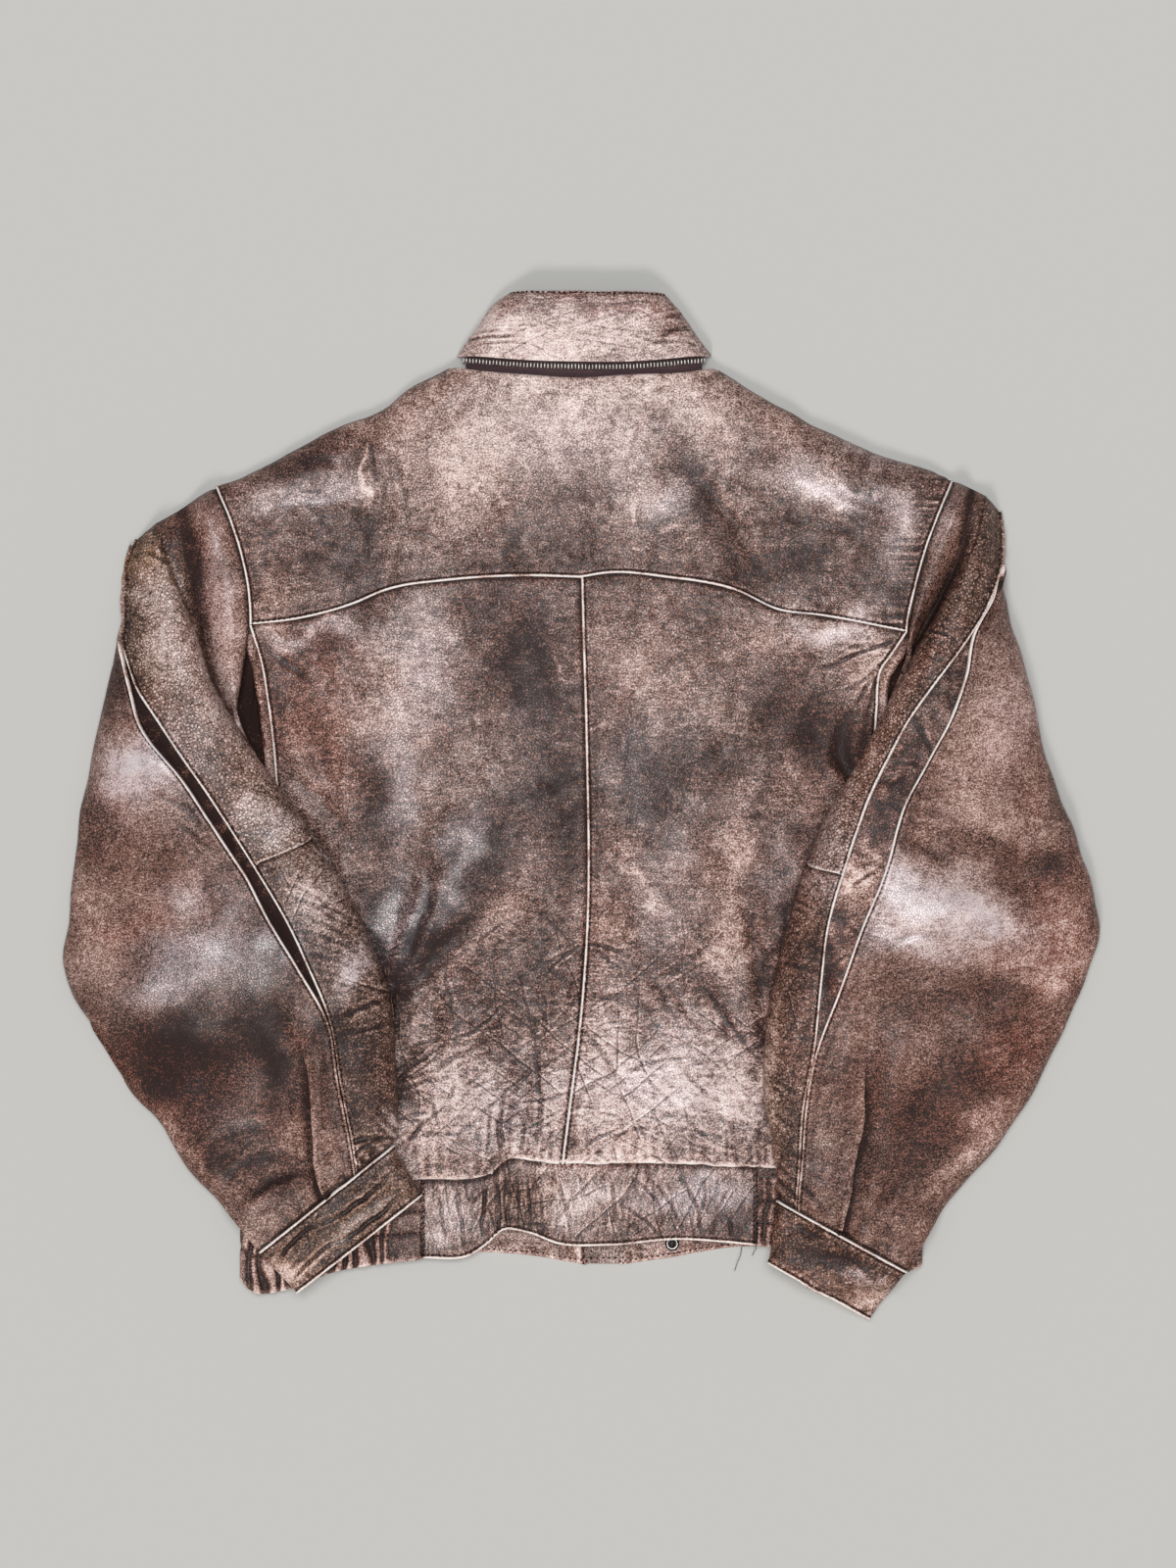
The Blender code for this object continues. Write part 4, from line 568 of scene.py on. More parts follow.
def hermite(knots, values, at):
    """Values on a smooth curve through rows of values that stand at the knots."""
    knots, values = np.asarray(knots, float), np.asarray(values, float)
    at = np.clip(at, knots[0], knots[-1])
    slopes = np.gradient(values, knots, axis=0)
    i = np.clip(np.searchsorted(knots, at, side="right") - 1, 0, len(knots) - 2)
    step = knots[i + 1] - knots[i]
    t = (at - knots[i]) / step
    if values.ndim > 1:
        t, step = t[..., None], step[..., None]
    rise = values[i + 1] - values[i]
    smooth = t * t * (3 - 2 * t)
    return (values[i] + rise * smooth
            + step * (slopes[i] * t * (1 - t) ** 2 - slopes[i + 1] * t * t * (1 - t)))


def curve_length(points):
    """Length of the line through points."""
    return np.linalg.norm(np.diff(np.asarray(points, float), axis=0), axis=1).sum()


def along(points, t):
    """Points on a smooth curve through the given ones, for t from 0 to 1 of its length."""
    points = np.asarray(points, float)
    run = np.linalg.norm(np.diff(points, axis=0), axis=1)
    return hermite(np.concatenate([[0], np.cumsum(run)]) / run.sum(), points, np.asarray(t, float))


def fine(points, count=70):
    """A closely spaced line along a smooth curve."""
    return along(points, np.linspace(0, 1, count))


def armhole_edge(armhole, corner, t):
    """The yoke's part of an armhole, from its corner up to the shoulder."""
    share = curve_length(armhole[:armhole.index(corner) + 1]) / curve_length(armhole)
    return along(armhole, share * (1 - t))


def joined(curves, t):
    """The same along several curves laid end to end, which keeps the corners between them."""
    lengths = [curve_length(curve) for curve in curves]
    ends = np.concatenate([[0], np.cumsum(lengths)]) / sum(lengths)
    out = np.zeros((len(t), 2))
    for curve, start, end in zip(curves, ends, ends[1:]):
        inside = (t >= start) & (t <= end)
        out[inside] = along(curve, (t[inside] - start) / (end - start))
    return out


def patch(bottom, top, left, right, across, up):
    """Points filled in between four edges: bottom and top are rows, left and right are columns."""
    u, v = across[None, :, None], up[:, None, None]
    corners = between(between(bottom[0], bottom[-1], u), between(top[0], top[-1], u), v)
    return between(bottom[None], top[None], v) + between(left[:, None], right[:, None], u) - corners


def ruled(first, last, share):
    """Points filled in between two rows."""
    return between(first[None], last[None], share[:, None, None])


def level_row(first_x, last_x, y, share):
    """Points of a straight row at one y."""
    return np.stack([first_x + (last_x - first_x) * share, np.full(len(share), y)], axis=1)


def smoothstep(t):
    """0 below 0, 1 above 1, and an even curve between them."""
    t = np.clip(t, 0, 1)
    return t * t * (3 - 2 * t)


def bell(distance, width):
    """1 at no distance, falling to 0 on either side over about this width."""
    return np.exp(-(distance / width) ** 2)


def between(first, last, share):
    """What stands a share of the way from the first to the last."""
    return first * (1 - share) + last * share


def distance_to(points, x, y):
    """How far x, y is from a line through points."""
    points = np.asarray(points, float)
    best = np.full(np.shape(x), 1e9)
    for (x0, y0), (x1, y1) in zip(points, points[1:]):
        dx, dy = x1 - x0, y1 - y0
        t = np.clip(((x - x0) * dx + (y - y0) * dy) / (dx * dx + dy * dy), 0, 1)
        best = np.minimum(best, np.hypot(x - x0 - t * dx, y - y0 - t * dy))
    return best


def to_line(line, x, y):
    """How far x, y is from a smooth curve."""
    return distance_to(fine(line), x, y)


def folds(table, x, y):
    """Height that the soft folds of a table add at x, y."""
    total = np.zeros(np.shape(x))
    for x0, y0, x1, y1, half_width, height in table:
        away = distance_to(((x0, y0), (x1, y1)), x, y)
        total += height * bell(away, half_width)
    return total


def trough(q):
    """A crease across its width: a trough with a low ridge on either side."""
    return 0.55 * bell(np.abs(q) - 1.7, 0.8) - np.exp(-q ** 2)


def creases(table, x, y):
    """Height that a table of creases adds, and the same with the wide ones left faint. They bow,
    wander a little, and fade towards their ends."""
    height, fine_share = np.zeros(np.shape(x)), np.zeros(np.shape(x))
    for x0, y0, x1, y1, bow, half_width, depth in table:
        length = np.hypot(x1 - x0, y1 - y0)
        ux, uy = (x1 - x0) / length, (y1 - y0) / length
        share = ((x - x0) * ux + (y - y0) * uy) / length
        t = np.clip(share, 0, 1)
        wander = 0.9 * np.sin(t * length / 6.5 + x0) + 0.5 * np.sin(t * length / 2.9 + y0)
        across = (y - y0) * ux - (x - x0) * uy - bow * 4 * t * (1 - t) + wander * min(1.0, half_width / 4)
        width = half_width * (0.62 if half_width < 4 else 0.8)
        away = np.hypot(across, (share - t) * length) / width
        line = depth * np.sin(np.pi * np.clip(t, 0.03, 0.97)) ** 0.6 * trough(away)
        height += line
        fine_share += line * min(1.0, (2.0 / half_width) ** 1.5)
    return height * sizes().crease, fine_share * sizes().crease


def network(x, y, turn, spacing, seed, width=0.8):
    """A family of fine creases about a spacing apart, which run at an angle, and come and go."""
    angle = np.radians(turn)
    away = (y * np.cos(angle) - x * np.sin(angle) + 0.7 * spacing * waves(x, y, seed, 110)
            + 0.6 * waves(x, y, seed + 1, 26))
    run = x * np.cos(angle) + y * np.sin(angle)
    number = np.round(away / spacing).astype(int)
    shift = np.random.default_rng(seed).random(512)[number % 512] - 0.5
    distance = away - (number + 0.4 * shift) * spacing
    there = smoothstep(0.45 + 1.1 * waves(run, number * 53.0, seed + 2, 120, 6) + 1.2 * shift)
    return there * trough(distance / width) * sizes().crease


def waves(x, y, seed, size, count=16):
    """A smooth uneven field of about -1 to 1 with swells of about this size."""
    random = np.random.default_rng(seed)
    total = np.zeros(np.shape(x))
    for turn, phase, spread in random.random((count, 3)):
        angle, pitch = 2 * np.pi * turn, size * (0.65 + 0.9 * spread)
        total += np.sin(2 * np.pi * ((x * np.cos(angle) + y * np.sin(angle)) / pitch + phase))
    return total / np.sqrt(2 * count)


def crackle(x, y, seed, size, width):
    """A network of thin lines, 1 on a line and 0 away from it."""
    return bell(waves(x, y, seed, size, 9), width)


def turn_down(distance, roll):
    """Share of its full height that a surface has at a distance from the line where it meets the floor."""
    return np.sqrt(1 - (1 - np.clip(distance / roll, 0, 1)) ** 2)


def back_height(x, y):
    """Height of the outer face of the back."""
    table = np.array(BACK_SECTIONS[::-1])
    row = hermite(table[:, 0], table[:, 1:], np.asarray(y, float))
    half_width, rim, crown = row[..., 0], row[..., 1], row[..., 2]
    across = np.clip(np.abs(x) / half_width, 0, 1)
    return rim + (crown - rim) * (1 - across ** 2.4) + folds(BODY_FOLDS, x, y)


def support(x, y):
    """Height of what a sleeve or cuff lies on: the back and the waistband, or the floor."""
    side = SIDE_X + 3 + 11 * smoothstep((UNDERARM_Y + 8 - y) / 14)
    beside = smoothstep((side - np.abs(x)) / 12)
    body = np.maximum(back_height(x, np.maximum(y, WAIST_Y)), BLOUSE_TOP + 1) + REST_GAP
    band = smoothstep((WAIST_Y - 3 - y) / 10)
    hem = np.where(x < 0, -350.0, -334.0)
    on_band = smoothstep((y - hem + 12) / 12)
    return between(body, BAND_TOP + REST_GAP, band) * beside * on_band


def grid_normals(grid, closed=False):
    """Unit normals of a grid of points, rows by columns."""
    down = np.gradient(grid, axis=0)
    if closed:
        across = (np.roll(grid, -1, axis=1) - np.roll(grid, 1, axis=1)) / 2
    else:
        across = np.gradient(grid, axis=1)
    normal = np.cross(down, across)
    return normal / np.maximum(np.linalg.norm(normal, axis=2, keepdims=True), 1e-9)


def lifted(plan, height):
    """Plan points with their heights."""
    return np.concatenate([plan, height[..., None]], axis=-1)


def shares(length, step, start=False, end=False):
    """Shares of a length about a step apart, an odd number, and closer beside each finished edge."""
    head = np.array(EDGE_OFFSETS if start else EDGE_OFFSETS[:1])
    tail = np.array(EDGE_OFFSETS if end else EDGE_OFFSETS[:1])
    inner = length - head[-1] - tail[-1]
    count = max(2, round(inner / step))
    count += (len(head) + len(tail) + count) % 2
    middle = head[-1] + inner * np.arange(1, count) / count
    return np.concatenate([head, middle, length - tail[::-1]]) / length


# ---------------------------------------------------------------- pieces of leather

class Surface:
    """A grid of points in table millimetres, with the relief, worn patches and painted light and shade that
    are added to it.
    """

    def __init__(self, grid, inward, closed=False):
        self.grid, self.closed = grid, closed
        self.out = -inward * grid_normals(grid, closed)
        self.x, self.y = grid[..., 0], grid[..., 1]
        self.relief = np.zeros(grid.shape[:2])
        self.tone = {name: np.zeros(grid.shape[:2]) for name in TONES}

    def to_line(self, line):
        """How far the points are from a smooth curve, seen from above."""
        return to_line(line, self.x, self.y)

    def from_edge(self, edge):
        """How far each point is from its own row's or column's point on an edge of the grid."""
        edges = {"left": np.s_[:, :1], "right": np.s_[:, -1:], "first": np.s_[:1], "last": np.s_[-1:]}
        return np.linalg.norm(self.grid - self.grid[edges[edge]], axis=2)

    def crease(self, height, wear_and_shading=0.55):
        """Adds relief, which is worn pale on its ridges and darkened with painted shade in its troughs. A
        pair holds the height and the part of it that is marked so."""
        height, marked = height if isinstance(height, tuple) else (height, height)
        self.relief += height
        self.tone["crest"] += marked / wear_and_shading

    def creases(self, table, share=1.0, wear_and_shading=0.55):
        """Adds a table of creases, or a share of them."""
        self.crease(tuple(share * height for height in creases(table, self.x, self.y)), wear_and_shading)

    def grain(self, seed, swell, size, depth, spacing, width, share=1.0):
        """Adds small swells, and a net of cracks of this depth."""
        cracks = depth * crackle(self.x, self.y, seed + 1, spacing, width)
        self.crease(share * (swell * waves(self.x, self.y, seed, size) - cracks))

    def swell(self, seed, size, height):
        """Adds soft unevenness."""
        self.relief += height * waves(self.x, self.y, seed + sizes().seed, size)

    def uneven(self, seed, size, middle, reach):
        """A field that varies about a middle value."""
        return middle + reach * waves(self.x, self.y, seed + sizes().seed, size)

    def welt(self, distance, strength=1.0):
        """Raises the folded edge of a lapped seam, worn pale, with the groove of its stitches behind it,
        darkened with painted shade.
        """
        width, height = sizes().welt_width / MM, sizes().welt_height / MM * strength
        rise = np.sqrt(np.clip(1 - (2 * distance / width - 1) ** 2, 0, 1))
        edge = np.where(distance < width / 2, (height + 0.9) * rise - 0.9, height * rise)
        self.relief += edge - 0.4 * bell(distance - EDGE_OFFSETS[STITCH_LINE], 0.8)
        rubbed = np.clip(self.uneven(31, 26, 0.95, 0.4), 0.5, 1.2)
        rubbed *= np.exp(-((distance - 0.72) / 0.84) ** 4)
        self.tone["rub"] += strength * (2.5 * rubbed + 0.10 * bell(distance - 4.6, 1.2))
        # painted shade in the stitch groove, and more faintly in a band beyond it
        self.tone["dark"] += 1.05 * strength * bell(distance - 2.4, 0.72) + 0.20 * bell(distance - 7.0, 2.6)

    def tuck_under_in_shade(self, distance):
        """Lowers an edge that another piece laps over, and darkens it with painted shadow."""
        self.relief -= 0.9 * bell(distance, 2.5)
        self.tone["dark"] += 0.95 * bell(distance, 1.9)

    def round_off(self, distance, radius=1.6, rub=0.9):
        """Rounds a turned edge and rubs it pale."""
        inside = np.clip(distance, 0, radius)
        self.relief -= radius - np.sqrt(radius ** 2 - (radius - inside) ** 2)
        self.tone["rub"] += rub * self.uneven(37, 20, 0.85, 0.3) * bell(distance, 2.4)

    def puckers(self, distance, run, length, reach, height, seed):
        """Short folds square to a seam, along which run is measured."""
        uneven = waves(run, 0 * run, seed, length * 4, 5)
        wave = np.sin(2 * np.pi * (run / length + 0.5 * uneven)) * (0.7 + 0.5 * uneven)
        fade = smoothstep((distance - 2.6) / 2) * np.exp(-np.clip(distance - 4, 0, None) / reach)
        self.crease(height * wave * fade)

    def wear_and_shading(self, table, polish=(), lines=()):
        """Adds a table of soft patches of worn and dirty leather, painted highlight and painted shade, and
        those of gloss with painted sheen and of fine lines. Their edges are made ragged by large and small
        swells."""
        ragged_x, ragged_y = (
            place + self.uneven(seed, 48, 0, 7) + self.uneven(seed + 1, 17, 0, 3)
            for place, seed in ((self.x, 121), (self.y, 123)))
        rows = [(row, TONES) for row in table]
        rows += [(row, ("polish",)) for row in polish] + [(row, ("lines",)) for row in lines]
        for (x, y, reach_x, reach_y, turn, *amounts), names in rows:
            angle = np.radians(turn)
            dx, dy = ragged_x - x, ragged_y - y
            along_it = (dx * np.cos(angle) + dy * np.sin(angle)) / reach_x
            across_it = (dy * np.cos(angle) - dx * np.sin(angle)) / reach_y
            share = np.exp(-(along_it ** 2 + across_it ** 2))
            for name, amount in zip(names, amounts):
                if amount:
                    self.tone[name] += amount * share

    def raised(self):
        """The points with their relief."""
        points = self.grid + self.out * self.relief[..., None]
        points[..., 2] = np.maximum(points[..., 2], 0.05)
        return points

    def stitch(self, side, first=0.0, last=1.0, line=STITCH_LINE):
        """Adds the line beside one side, from a first to a last share of it, to the seams."""
        pick = {"left": np.s_[:, line], "right": np.s_[:, -1 - line],
                "first": np.s_[line, :], "last": np.s_[-1 - line, :]}[side]
        points, facing = self.raised()[pick], self.out[pick]
        kept = slice(int(first * (len(points) - 1)), int(last * (len(points) - 1)) + 1)
        seams.append((points[kept] + THREAD_LIFT * facing[kept], facing[kept]))

    def cut(self):
        """Width, length and area that the piece is cut to, in metres, from its form without creases."""
        across = np.linalg.norm(np.diff(self.grid, axis=1), axis=2).sum(axis=1)
        down = np.linalg.norm(np.diff(self.grid, axis=0), axis=2).sum(axis=0)
        first = np.cross(np.diff(self.grid, axis=1)[:-1], np.diff(self.grid, axis=0)[:, :-1])
        second = np.cross(np.diff(self.grid, axis=1)[1:], np.diff(self.grid, axis=0)[:, 1:])
        area = (np.linalg.norm(first, axis=2) + np.linalg.norm(second, axis=2)).sum() / 2
        if self.closed:
            closing = np.linalg.norm(self.grid[:, 0] - self.grid[:, -1], axis=1)
            area += (closing * np.mean(down) / len(self.grid)).sum()
            across = across + closing
        width, length = across.max() * MM, down.max() * MM
        return width, length, min(area * MM * MM, width * length)


def quads(index, closed):
    """Faces of a grid of points, given the points' numbers."""
    if closed:
        index = np.concatenate([index, index[:, :1]], axis=1)
    corners = index[:-1, :-1], index[:-1, 1:], index[1:, 1:], index[1:, :-1]
    return np.stack(corners, axis=-1).reshape(-1, 4)


def rim(outer, inner, turned):
    """Triangles between an edge of the outer face and the same edge of the inner face, which has
    every other point."""
    faces = []
    for k in range(len(inner) - 1):
        a, b, c = outer[2 * k], outer[2 * k + 1], outer[2 * k + 2]
        d, e = inner[k], inner[k + 1]
        three = [(a, b, d), (b, e, d), (b, c, e)]
        faces += [face[::-1] for face in three] if turned else three
    return faces


def shell(surface, thickness):
    """Points, faces and tones of a surface with its wall. The inner face has every other point."""
    outer = surface.raised()
    inner = outer[::2, ::2] - surface.out[::2, ::2] * thickness
    inner[..., 2] = np.maximum(inner[..., 2], INNER_WALL_DROP)
    points = np.concatenate([outer.reshape(-1, 3), inner.reshape(-1, 3)])
    number = np.arange(len(points))
    far = number[:outer[..., 0].size].reshape(outer.shape[:2])
    near = number[outer[..., 0].size:].reshape(inner.shape[:2])
    faces = quads(far, surface.closed).tolist() + quads(near, surface.closed)[:, ::-1].tolist()
    if surface.closed:
        far = np.concatenate([far, far[:, :1]], axis=1)
        near = np.concatenate([near, near[:, :1]], axis=1)
    faces += rim(far[0].tolist(), near[0].tolist(), True) + rim(far[-1].tolist(), near[-1].tolist(), False)
    if not surface.closed:
        faces += rim(far[:, 0].tolist(), near[:, 0].tolist(), False)
        faces += rim(far[:, -1].tolist(), near[:, -1].tolist(), True)
    tones = {name: np.concatenate([tone.ravel(), tone[::2, ::2].ravel()])
             for name, tone in surface.tone.items()}
    return points, faces, tones


def volume(points, faces):
    """Volume inside closed faces, negative if they are inside out."""
    total = 0.0
    for corners in (3, 4):
        same = np.array([face for face in faces if len(face) == corners], int).reshape(-1, corners)
        for second in range(1, corners - 1):
            a, b, c = points[same[:, 0]], points[same[:, second]], points[same[:, second + 1]]
            total += (a * np.cross(b, c)).sum() / 6
    return total


def add_object(name, data, **settings):
    """An object in the scene that holds this data."""
    made = bpy.data.objects.new(name, data)
    for setting, value in settings.items():
        setattr(made, setting, value)
    bpy.context.collection.objects.link(made)
    return made


def mesh_object(name, points, faces, material):
    """A smooth object from points in table millimetres, with its faces pointing out."""
    placed = (np.asarray(points, float) - (*CENTRE, 0.0)) * MM
    if volume(placed, faces) < 0:
        faces = [face[::-1] for face in faces]
    mesh = bpy.data.meshes.new(name)
    mesh.from_pydata(placed.tolist(), [], faces)
    mesh.materials.append(material)
    mesh.shade_smooth()
    made = add_object(name, mesh)
    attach(made, BODY)
    return made


def leather_piece(node, surface, material, thickness=WALL, cloth="leather"):
    """A piece of leather or tape that stands for its node, which it hides. The size that it was cut to is
    worked out but not used."""
    points, faces, tones = shell(surface, thickness)
    made = mesh_object(f"{node}_{cloth}", points, faces, material)
    for tone, values in tones.items():
        layer = made.data.attributes.new(tone, "FLOAT", "POINT")
        layer.data.foreach_set("value", np.asarray(values, np.float32))
    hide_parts(node)
    width, length, area = surface.cut()


# ---------------------------------------------------------------- body

def make_yoke(material):
    """The yoke, lapped over the back panels and the sleeves."""
    step = sizes().step / MM * 1.1
    across = shares(YOKE_SPAN, step, start=True, end=True)
    up = shares(YOKE_DEPTH, step, start=True)
    plan = patch(joined((YOKE_SEAM_LEFT, YOKE_SEAM_RIGHT), across),
                 joined((LEFT_SHOULDER, NECK, RIGHT_SHOULDER), across),
                 armhole_edge(LEFT_ARMHOLE, YOKE_SEAM_LEFT[0], up),
                 armhole_edge(RIGHT_ARMHOLE, YOKE_SEAM_RIGHT[-1], up), across, up)
    x, y = plan[..., 0], plan[..., 1]
    away = np.minimum(to_line(LEFT_SHOULDER, x, y), to_line(RIGHT_SHOULDER, x, y))
    away[-1] = np.where(to_line(NECK, x[-1], y[-1]) < 0.5, away[-1], 0.0)
    surface = Surface(lifted(plan, back_height(x, y) * turn_down(away, SHOULDER_ROLL)), 1)
    surface.swell(1, 85, 1.3)
    surface.swell(2, 36, 0.6)
    surface.creases(YOKE_CREASES)
    surface.grain(3, 0.10, 9, 0.14, 30, 0.05)
    seam = np.concatenate([fine(YOKE_SEAM_LEFT), fine(YOKE_SEAM_RIGHT)[1:]])
    to_seam = distance_to(seam, x, y)
    to_left, to_right = surface.to_line(LEFT_ARMHOLE), surface.to_line(RIGHT_ARMHOLE)
    surface.welt(np.minimum(to_seam, np.minimum(to_left, to_right)))
    surface.puckers(to_left, y, *PUCKERS["left"], seed=5)
    surface.puckers(to_right, y, *PUCKERS["right"], seed=6)
    surface.puckers(to_seam, x, 6.5, 5.0, 0.16 + 0.2 * smoothstep((x - 130) / 40), seed=8)
    surface.round_off(surface.to_line(NECK), 1.4, 0.5)
    surface.wear_and_shading(BODY_WEAR_AND_SHADING, BODY_POLISH_AND_SHEEN, BODY_LINES)
    leather_piece("back_yoke", surface, material)
    surface.stitch("first")
    surface.stitch("left", 0.02, 0.97)
    surface.stitch("right", 0.02, 0.97)


def make_back_panels(material):
    """The two panels below the yoke, bloused over the waistband."""
    step = sizes().step / MM * 1.04
    across = shares(PANEL_SPAN, step, start=True, end=True)
    down = shares(PANEL_DEPTH, step, start=True, end=True)
    for side, seam, pleat, blouse in (("left", YOKE_SEAM_LEFT, LEFT_PLEAT, BLOUSE_LEFT),
                                      ("right", YOKE_SEAM_RIGHT, RIGHT_PLEAT, BLOUSE_RIGHT)):
        first, last = (pleat, CENTRE_SEAM) if side == "left" else (CENTRE_SEAM, pleat)
        plan = patch(along(seam, across), along(blouse, across), along(first, down), along(last, down),
                     across, down)
        x, y = plan[..., 0], plan[..., 1]
        to_hem = to_line(blouse, x, y)
        height = np.maximum(back_height(x, y) - BLOUSE_TOP, 1.0)
        surface = Surface(lifted(plan, BLOUSE_TOP + height * turn_down(to_hem, 22)), -1)
        lower = smoothstep((-60 - y) / 90)
        surface.swell(11, 75, 1.7)
        surface.swell(12, 32, 0.55 + 0.35 * lower)
        surface.crease(1.2 * lower * network(x, y, -30 * SIGN[side], 44, 18, 7.0), 8.0)
        surface.creases(BACK_CREASES)
        surface.grain(13, 0.10 + 0.08 * lower, 8, 0.10, 34, 0.055)
        lowest = smoothstep((-60 - y) / 80)
        for turn, spacing, seed, depth in LOWER_BACK_NETWORK[side]:
            surface.crease(depth * lowest * network(x, y, turn, spacing, seed, 1.9), 1.05)
        surface.relief += 0.45 * lower * waves(x, 0.3 * y, 15, 24)
        surface.tuck_under_in_shade(surface.to_line(seam))
        surface.puckers(to_hem, x, 8.0, 13.0, 0.5, seed=16)
        surface.round_off(to_hem, 1.8, 1.7)
        to_pleat, to_centre = surface.to_line(pleat), surface.to_line(CENTRE_SEAM)
        double = smoothstep((DOUBLE_STITCH_Y + 4 - y) / 8)
        if side == "left":
            surface.puckers(to_centre, y, 4.6, 3.0, 0.14 + 0.1 * lower, seed=17)
            surface.welt(to_pleat, 0.8)
            surface.tuck_under_in_shade(to_centre)
            surface.tone["dark"] += 0.5 * double * bell(to_centre - EDGE_OFFSETS[EDGE_ROW], 0.8)
        else:
            surface.puckers(to_centre, y, 3.5, 4.0, 0.34 + 0.1 * lower, seed=17)
            surface.welt(to_centre, 0.75)
            surface.welt(to_pleat, 0.9)
            surface.relief -= 0.5 * double * bell(to_centre, 3.2)
            surface.tone["rub"] += 0.30 * double * np.exp(-((to_centre - 1.2) / 1.2) ** 4)
            surface.tone["dark"] += 0.6 * double * bell(to_centre - 3.0, 0.8)
        surface.wear_and_shading(BODY_WEAR_AND_SHADING, BODY_POLISH_AND_SHEEN, BODY_LINES)
        leather_piece("back_panel_" + side, surface, material)
        if side == "left":
            surface.stitch("left", 0.0, 0.6)
            top, bottom = CENTRE_SEAM[0][1], CENTRE_SEAM[-1][1]
            surface.stitch("right", (DOUBLE_STITCH_Y - top) / (bottom - top), 0.99, EDGE_ROW)
        else:
            surface.stitch("right", 0.0, 0.6)
            surface.stitch("left", 0.0, 0.99)


def make_pleats(material):
    """The strip behind each panel's outer edge: a ledge beside the edge, then a deep fold."""
    down = np.linspace(0, 1, 2 * round(95 * MM / sizes().step) + 1)
    for side, pleat in (("left", LEFT_PLEAT), ("right", RIGHT_PLEAT)):
        sign = SIGN[side]
        inner = along(pleat, down) - np.array([sign * PLEAT_LAP, 0])
        outer_y = np.linspace(PLEAT_TOP_Y, WAIST_Y, len(down))
        outer = np.stack([np.full(len(down), sign * (SIDE_X - 0.5)), outer_y], axis=1)
        plan = between(inner[:, None], outer[:, None], np.linspace(0, 1, 37)[None, :, None])
        x, y = plan[..., 0], plan[..., 1]
        side_seam = smoothstep((UNDERARM_Y - 10 - y) / 25)
        fall = turn_down(SIDE_X + 0.01 - np.abs(x), 16)
        height = (back_height(x, y) - PLEAT_DROP) * (1 - side_seam + side_seam * fall)
        height = np.minimum(height, 6.5 + 20 * smoothstep((236 - np.abs(x) - 0.06 * (y - 40)) / 12)
                            + 20 * side_seam)
        beyond = np.linalg.norm(plan - inner[:, None], axis=2) - PLEAT_LAP
        open_share = smoothstep((y - 10) / 30)
        height -= 5.5 * open_share * smoothstep((beyond - 6.5) / 2.5) * smoothstep((26 - beyond) / 14)
        height += 1.2 * open_share * bell(beyond - 5, 2.4)
        surface = Surface(lifted(plan, np.maximum(height, 2.6)), -sign)
        surface.tone["rub"] += 0.45 * bell(beyond - 4.5, 3)
        surface.tone["warm"] += 0.3
        # Painted shade deep in the pleat's fold, where there is also less gloss and painted sheen
        surface.tone["dark"] += 1.6 * smoothstep((beyond - 6) / 4)
        surface.tone["polish"] -= 0.4
        surface.swell(21, 30, 0.4)
        leather_piece("back_pleat_" + side, surface, material)


# ---------------------------------------------------------------- collar

def make_collar(material):
    """The collar's back, pale from the neck, over its two leaves."""
    step = sizes().step / MM * 0.7
    across = shares(COLLAR_SPAN, step, start=True, end=True)
    up = shares(48, step, start=True, end=True)
    plan = patch(along(ZIP_LINE, across), along(COLLAR_TOP, across), along(COLLAR_LEFT, up),
                 along(COLLAR_RIGHT, up), across, up)
    x, y = plan[..., 0], plan[..., 1]
    to_sides = np.minimum(to_line(COLLAR_LEFT, x, y), to_line(COLLAR_RIGHT, x, y))
    to_top = to_line(COLLAR_TOP, x, y)
    height = COLLAR_HEIGHT * turn_down(to_sides, 18) * (1 - 0.35 * (1 - turn_down(to_top, 9)))
    surface = Surface(lifted(plan, height), 1)
    surface.swell(41, 40, 0.5)
    surface.creases(COLLAR_CREASES)
    surface.crease(0.12 * waves(x, y, 42, 7) + 0.16 * network(x, y, 4, 3.6, 44, 0.6)
                   + 0.14 * network(x, y, 70, 5.0, 46, 0.6) + 0.12 * network(x, y, -50, 6.0, 48, 0.6))
    surface.round_off(to_top, 1.8, 0.4)
    # The groove of the stitches at the top, lowered and darkened with painted shade
    groove = bell(to_top - EDGE_OFFSETS[STITCH_LINE], 0.9)
    surface.relief -= 0.4 * groove
    surface.tone["dark"] += 0.5 * groove
    surface.round_off(surface.to_line(ZIP_LINE), 1.5, 0.4)
    surface.wear_and_shading(COLLAR_WEAR)
    surface.tone["lines"] += 0.5
    surface.tone["polish"] += 0.3
    leather_piece("collar_back", surface, material)
    surface.stitch("last", 0.02, 0.98)


def tape_height(x):
    """Height of the zip's tape, which turns down to its two ends."""
    return TAPE_END + (TAPE_HEIGHT - TAPE_END) * turn_down(86 - np.abs(x - 2), 40)


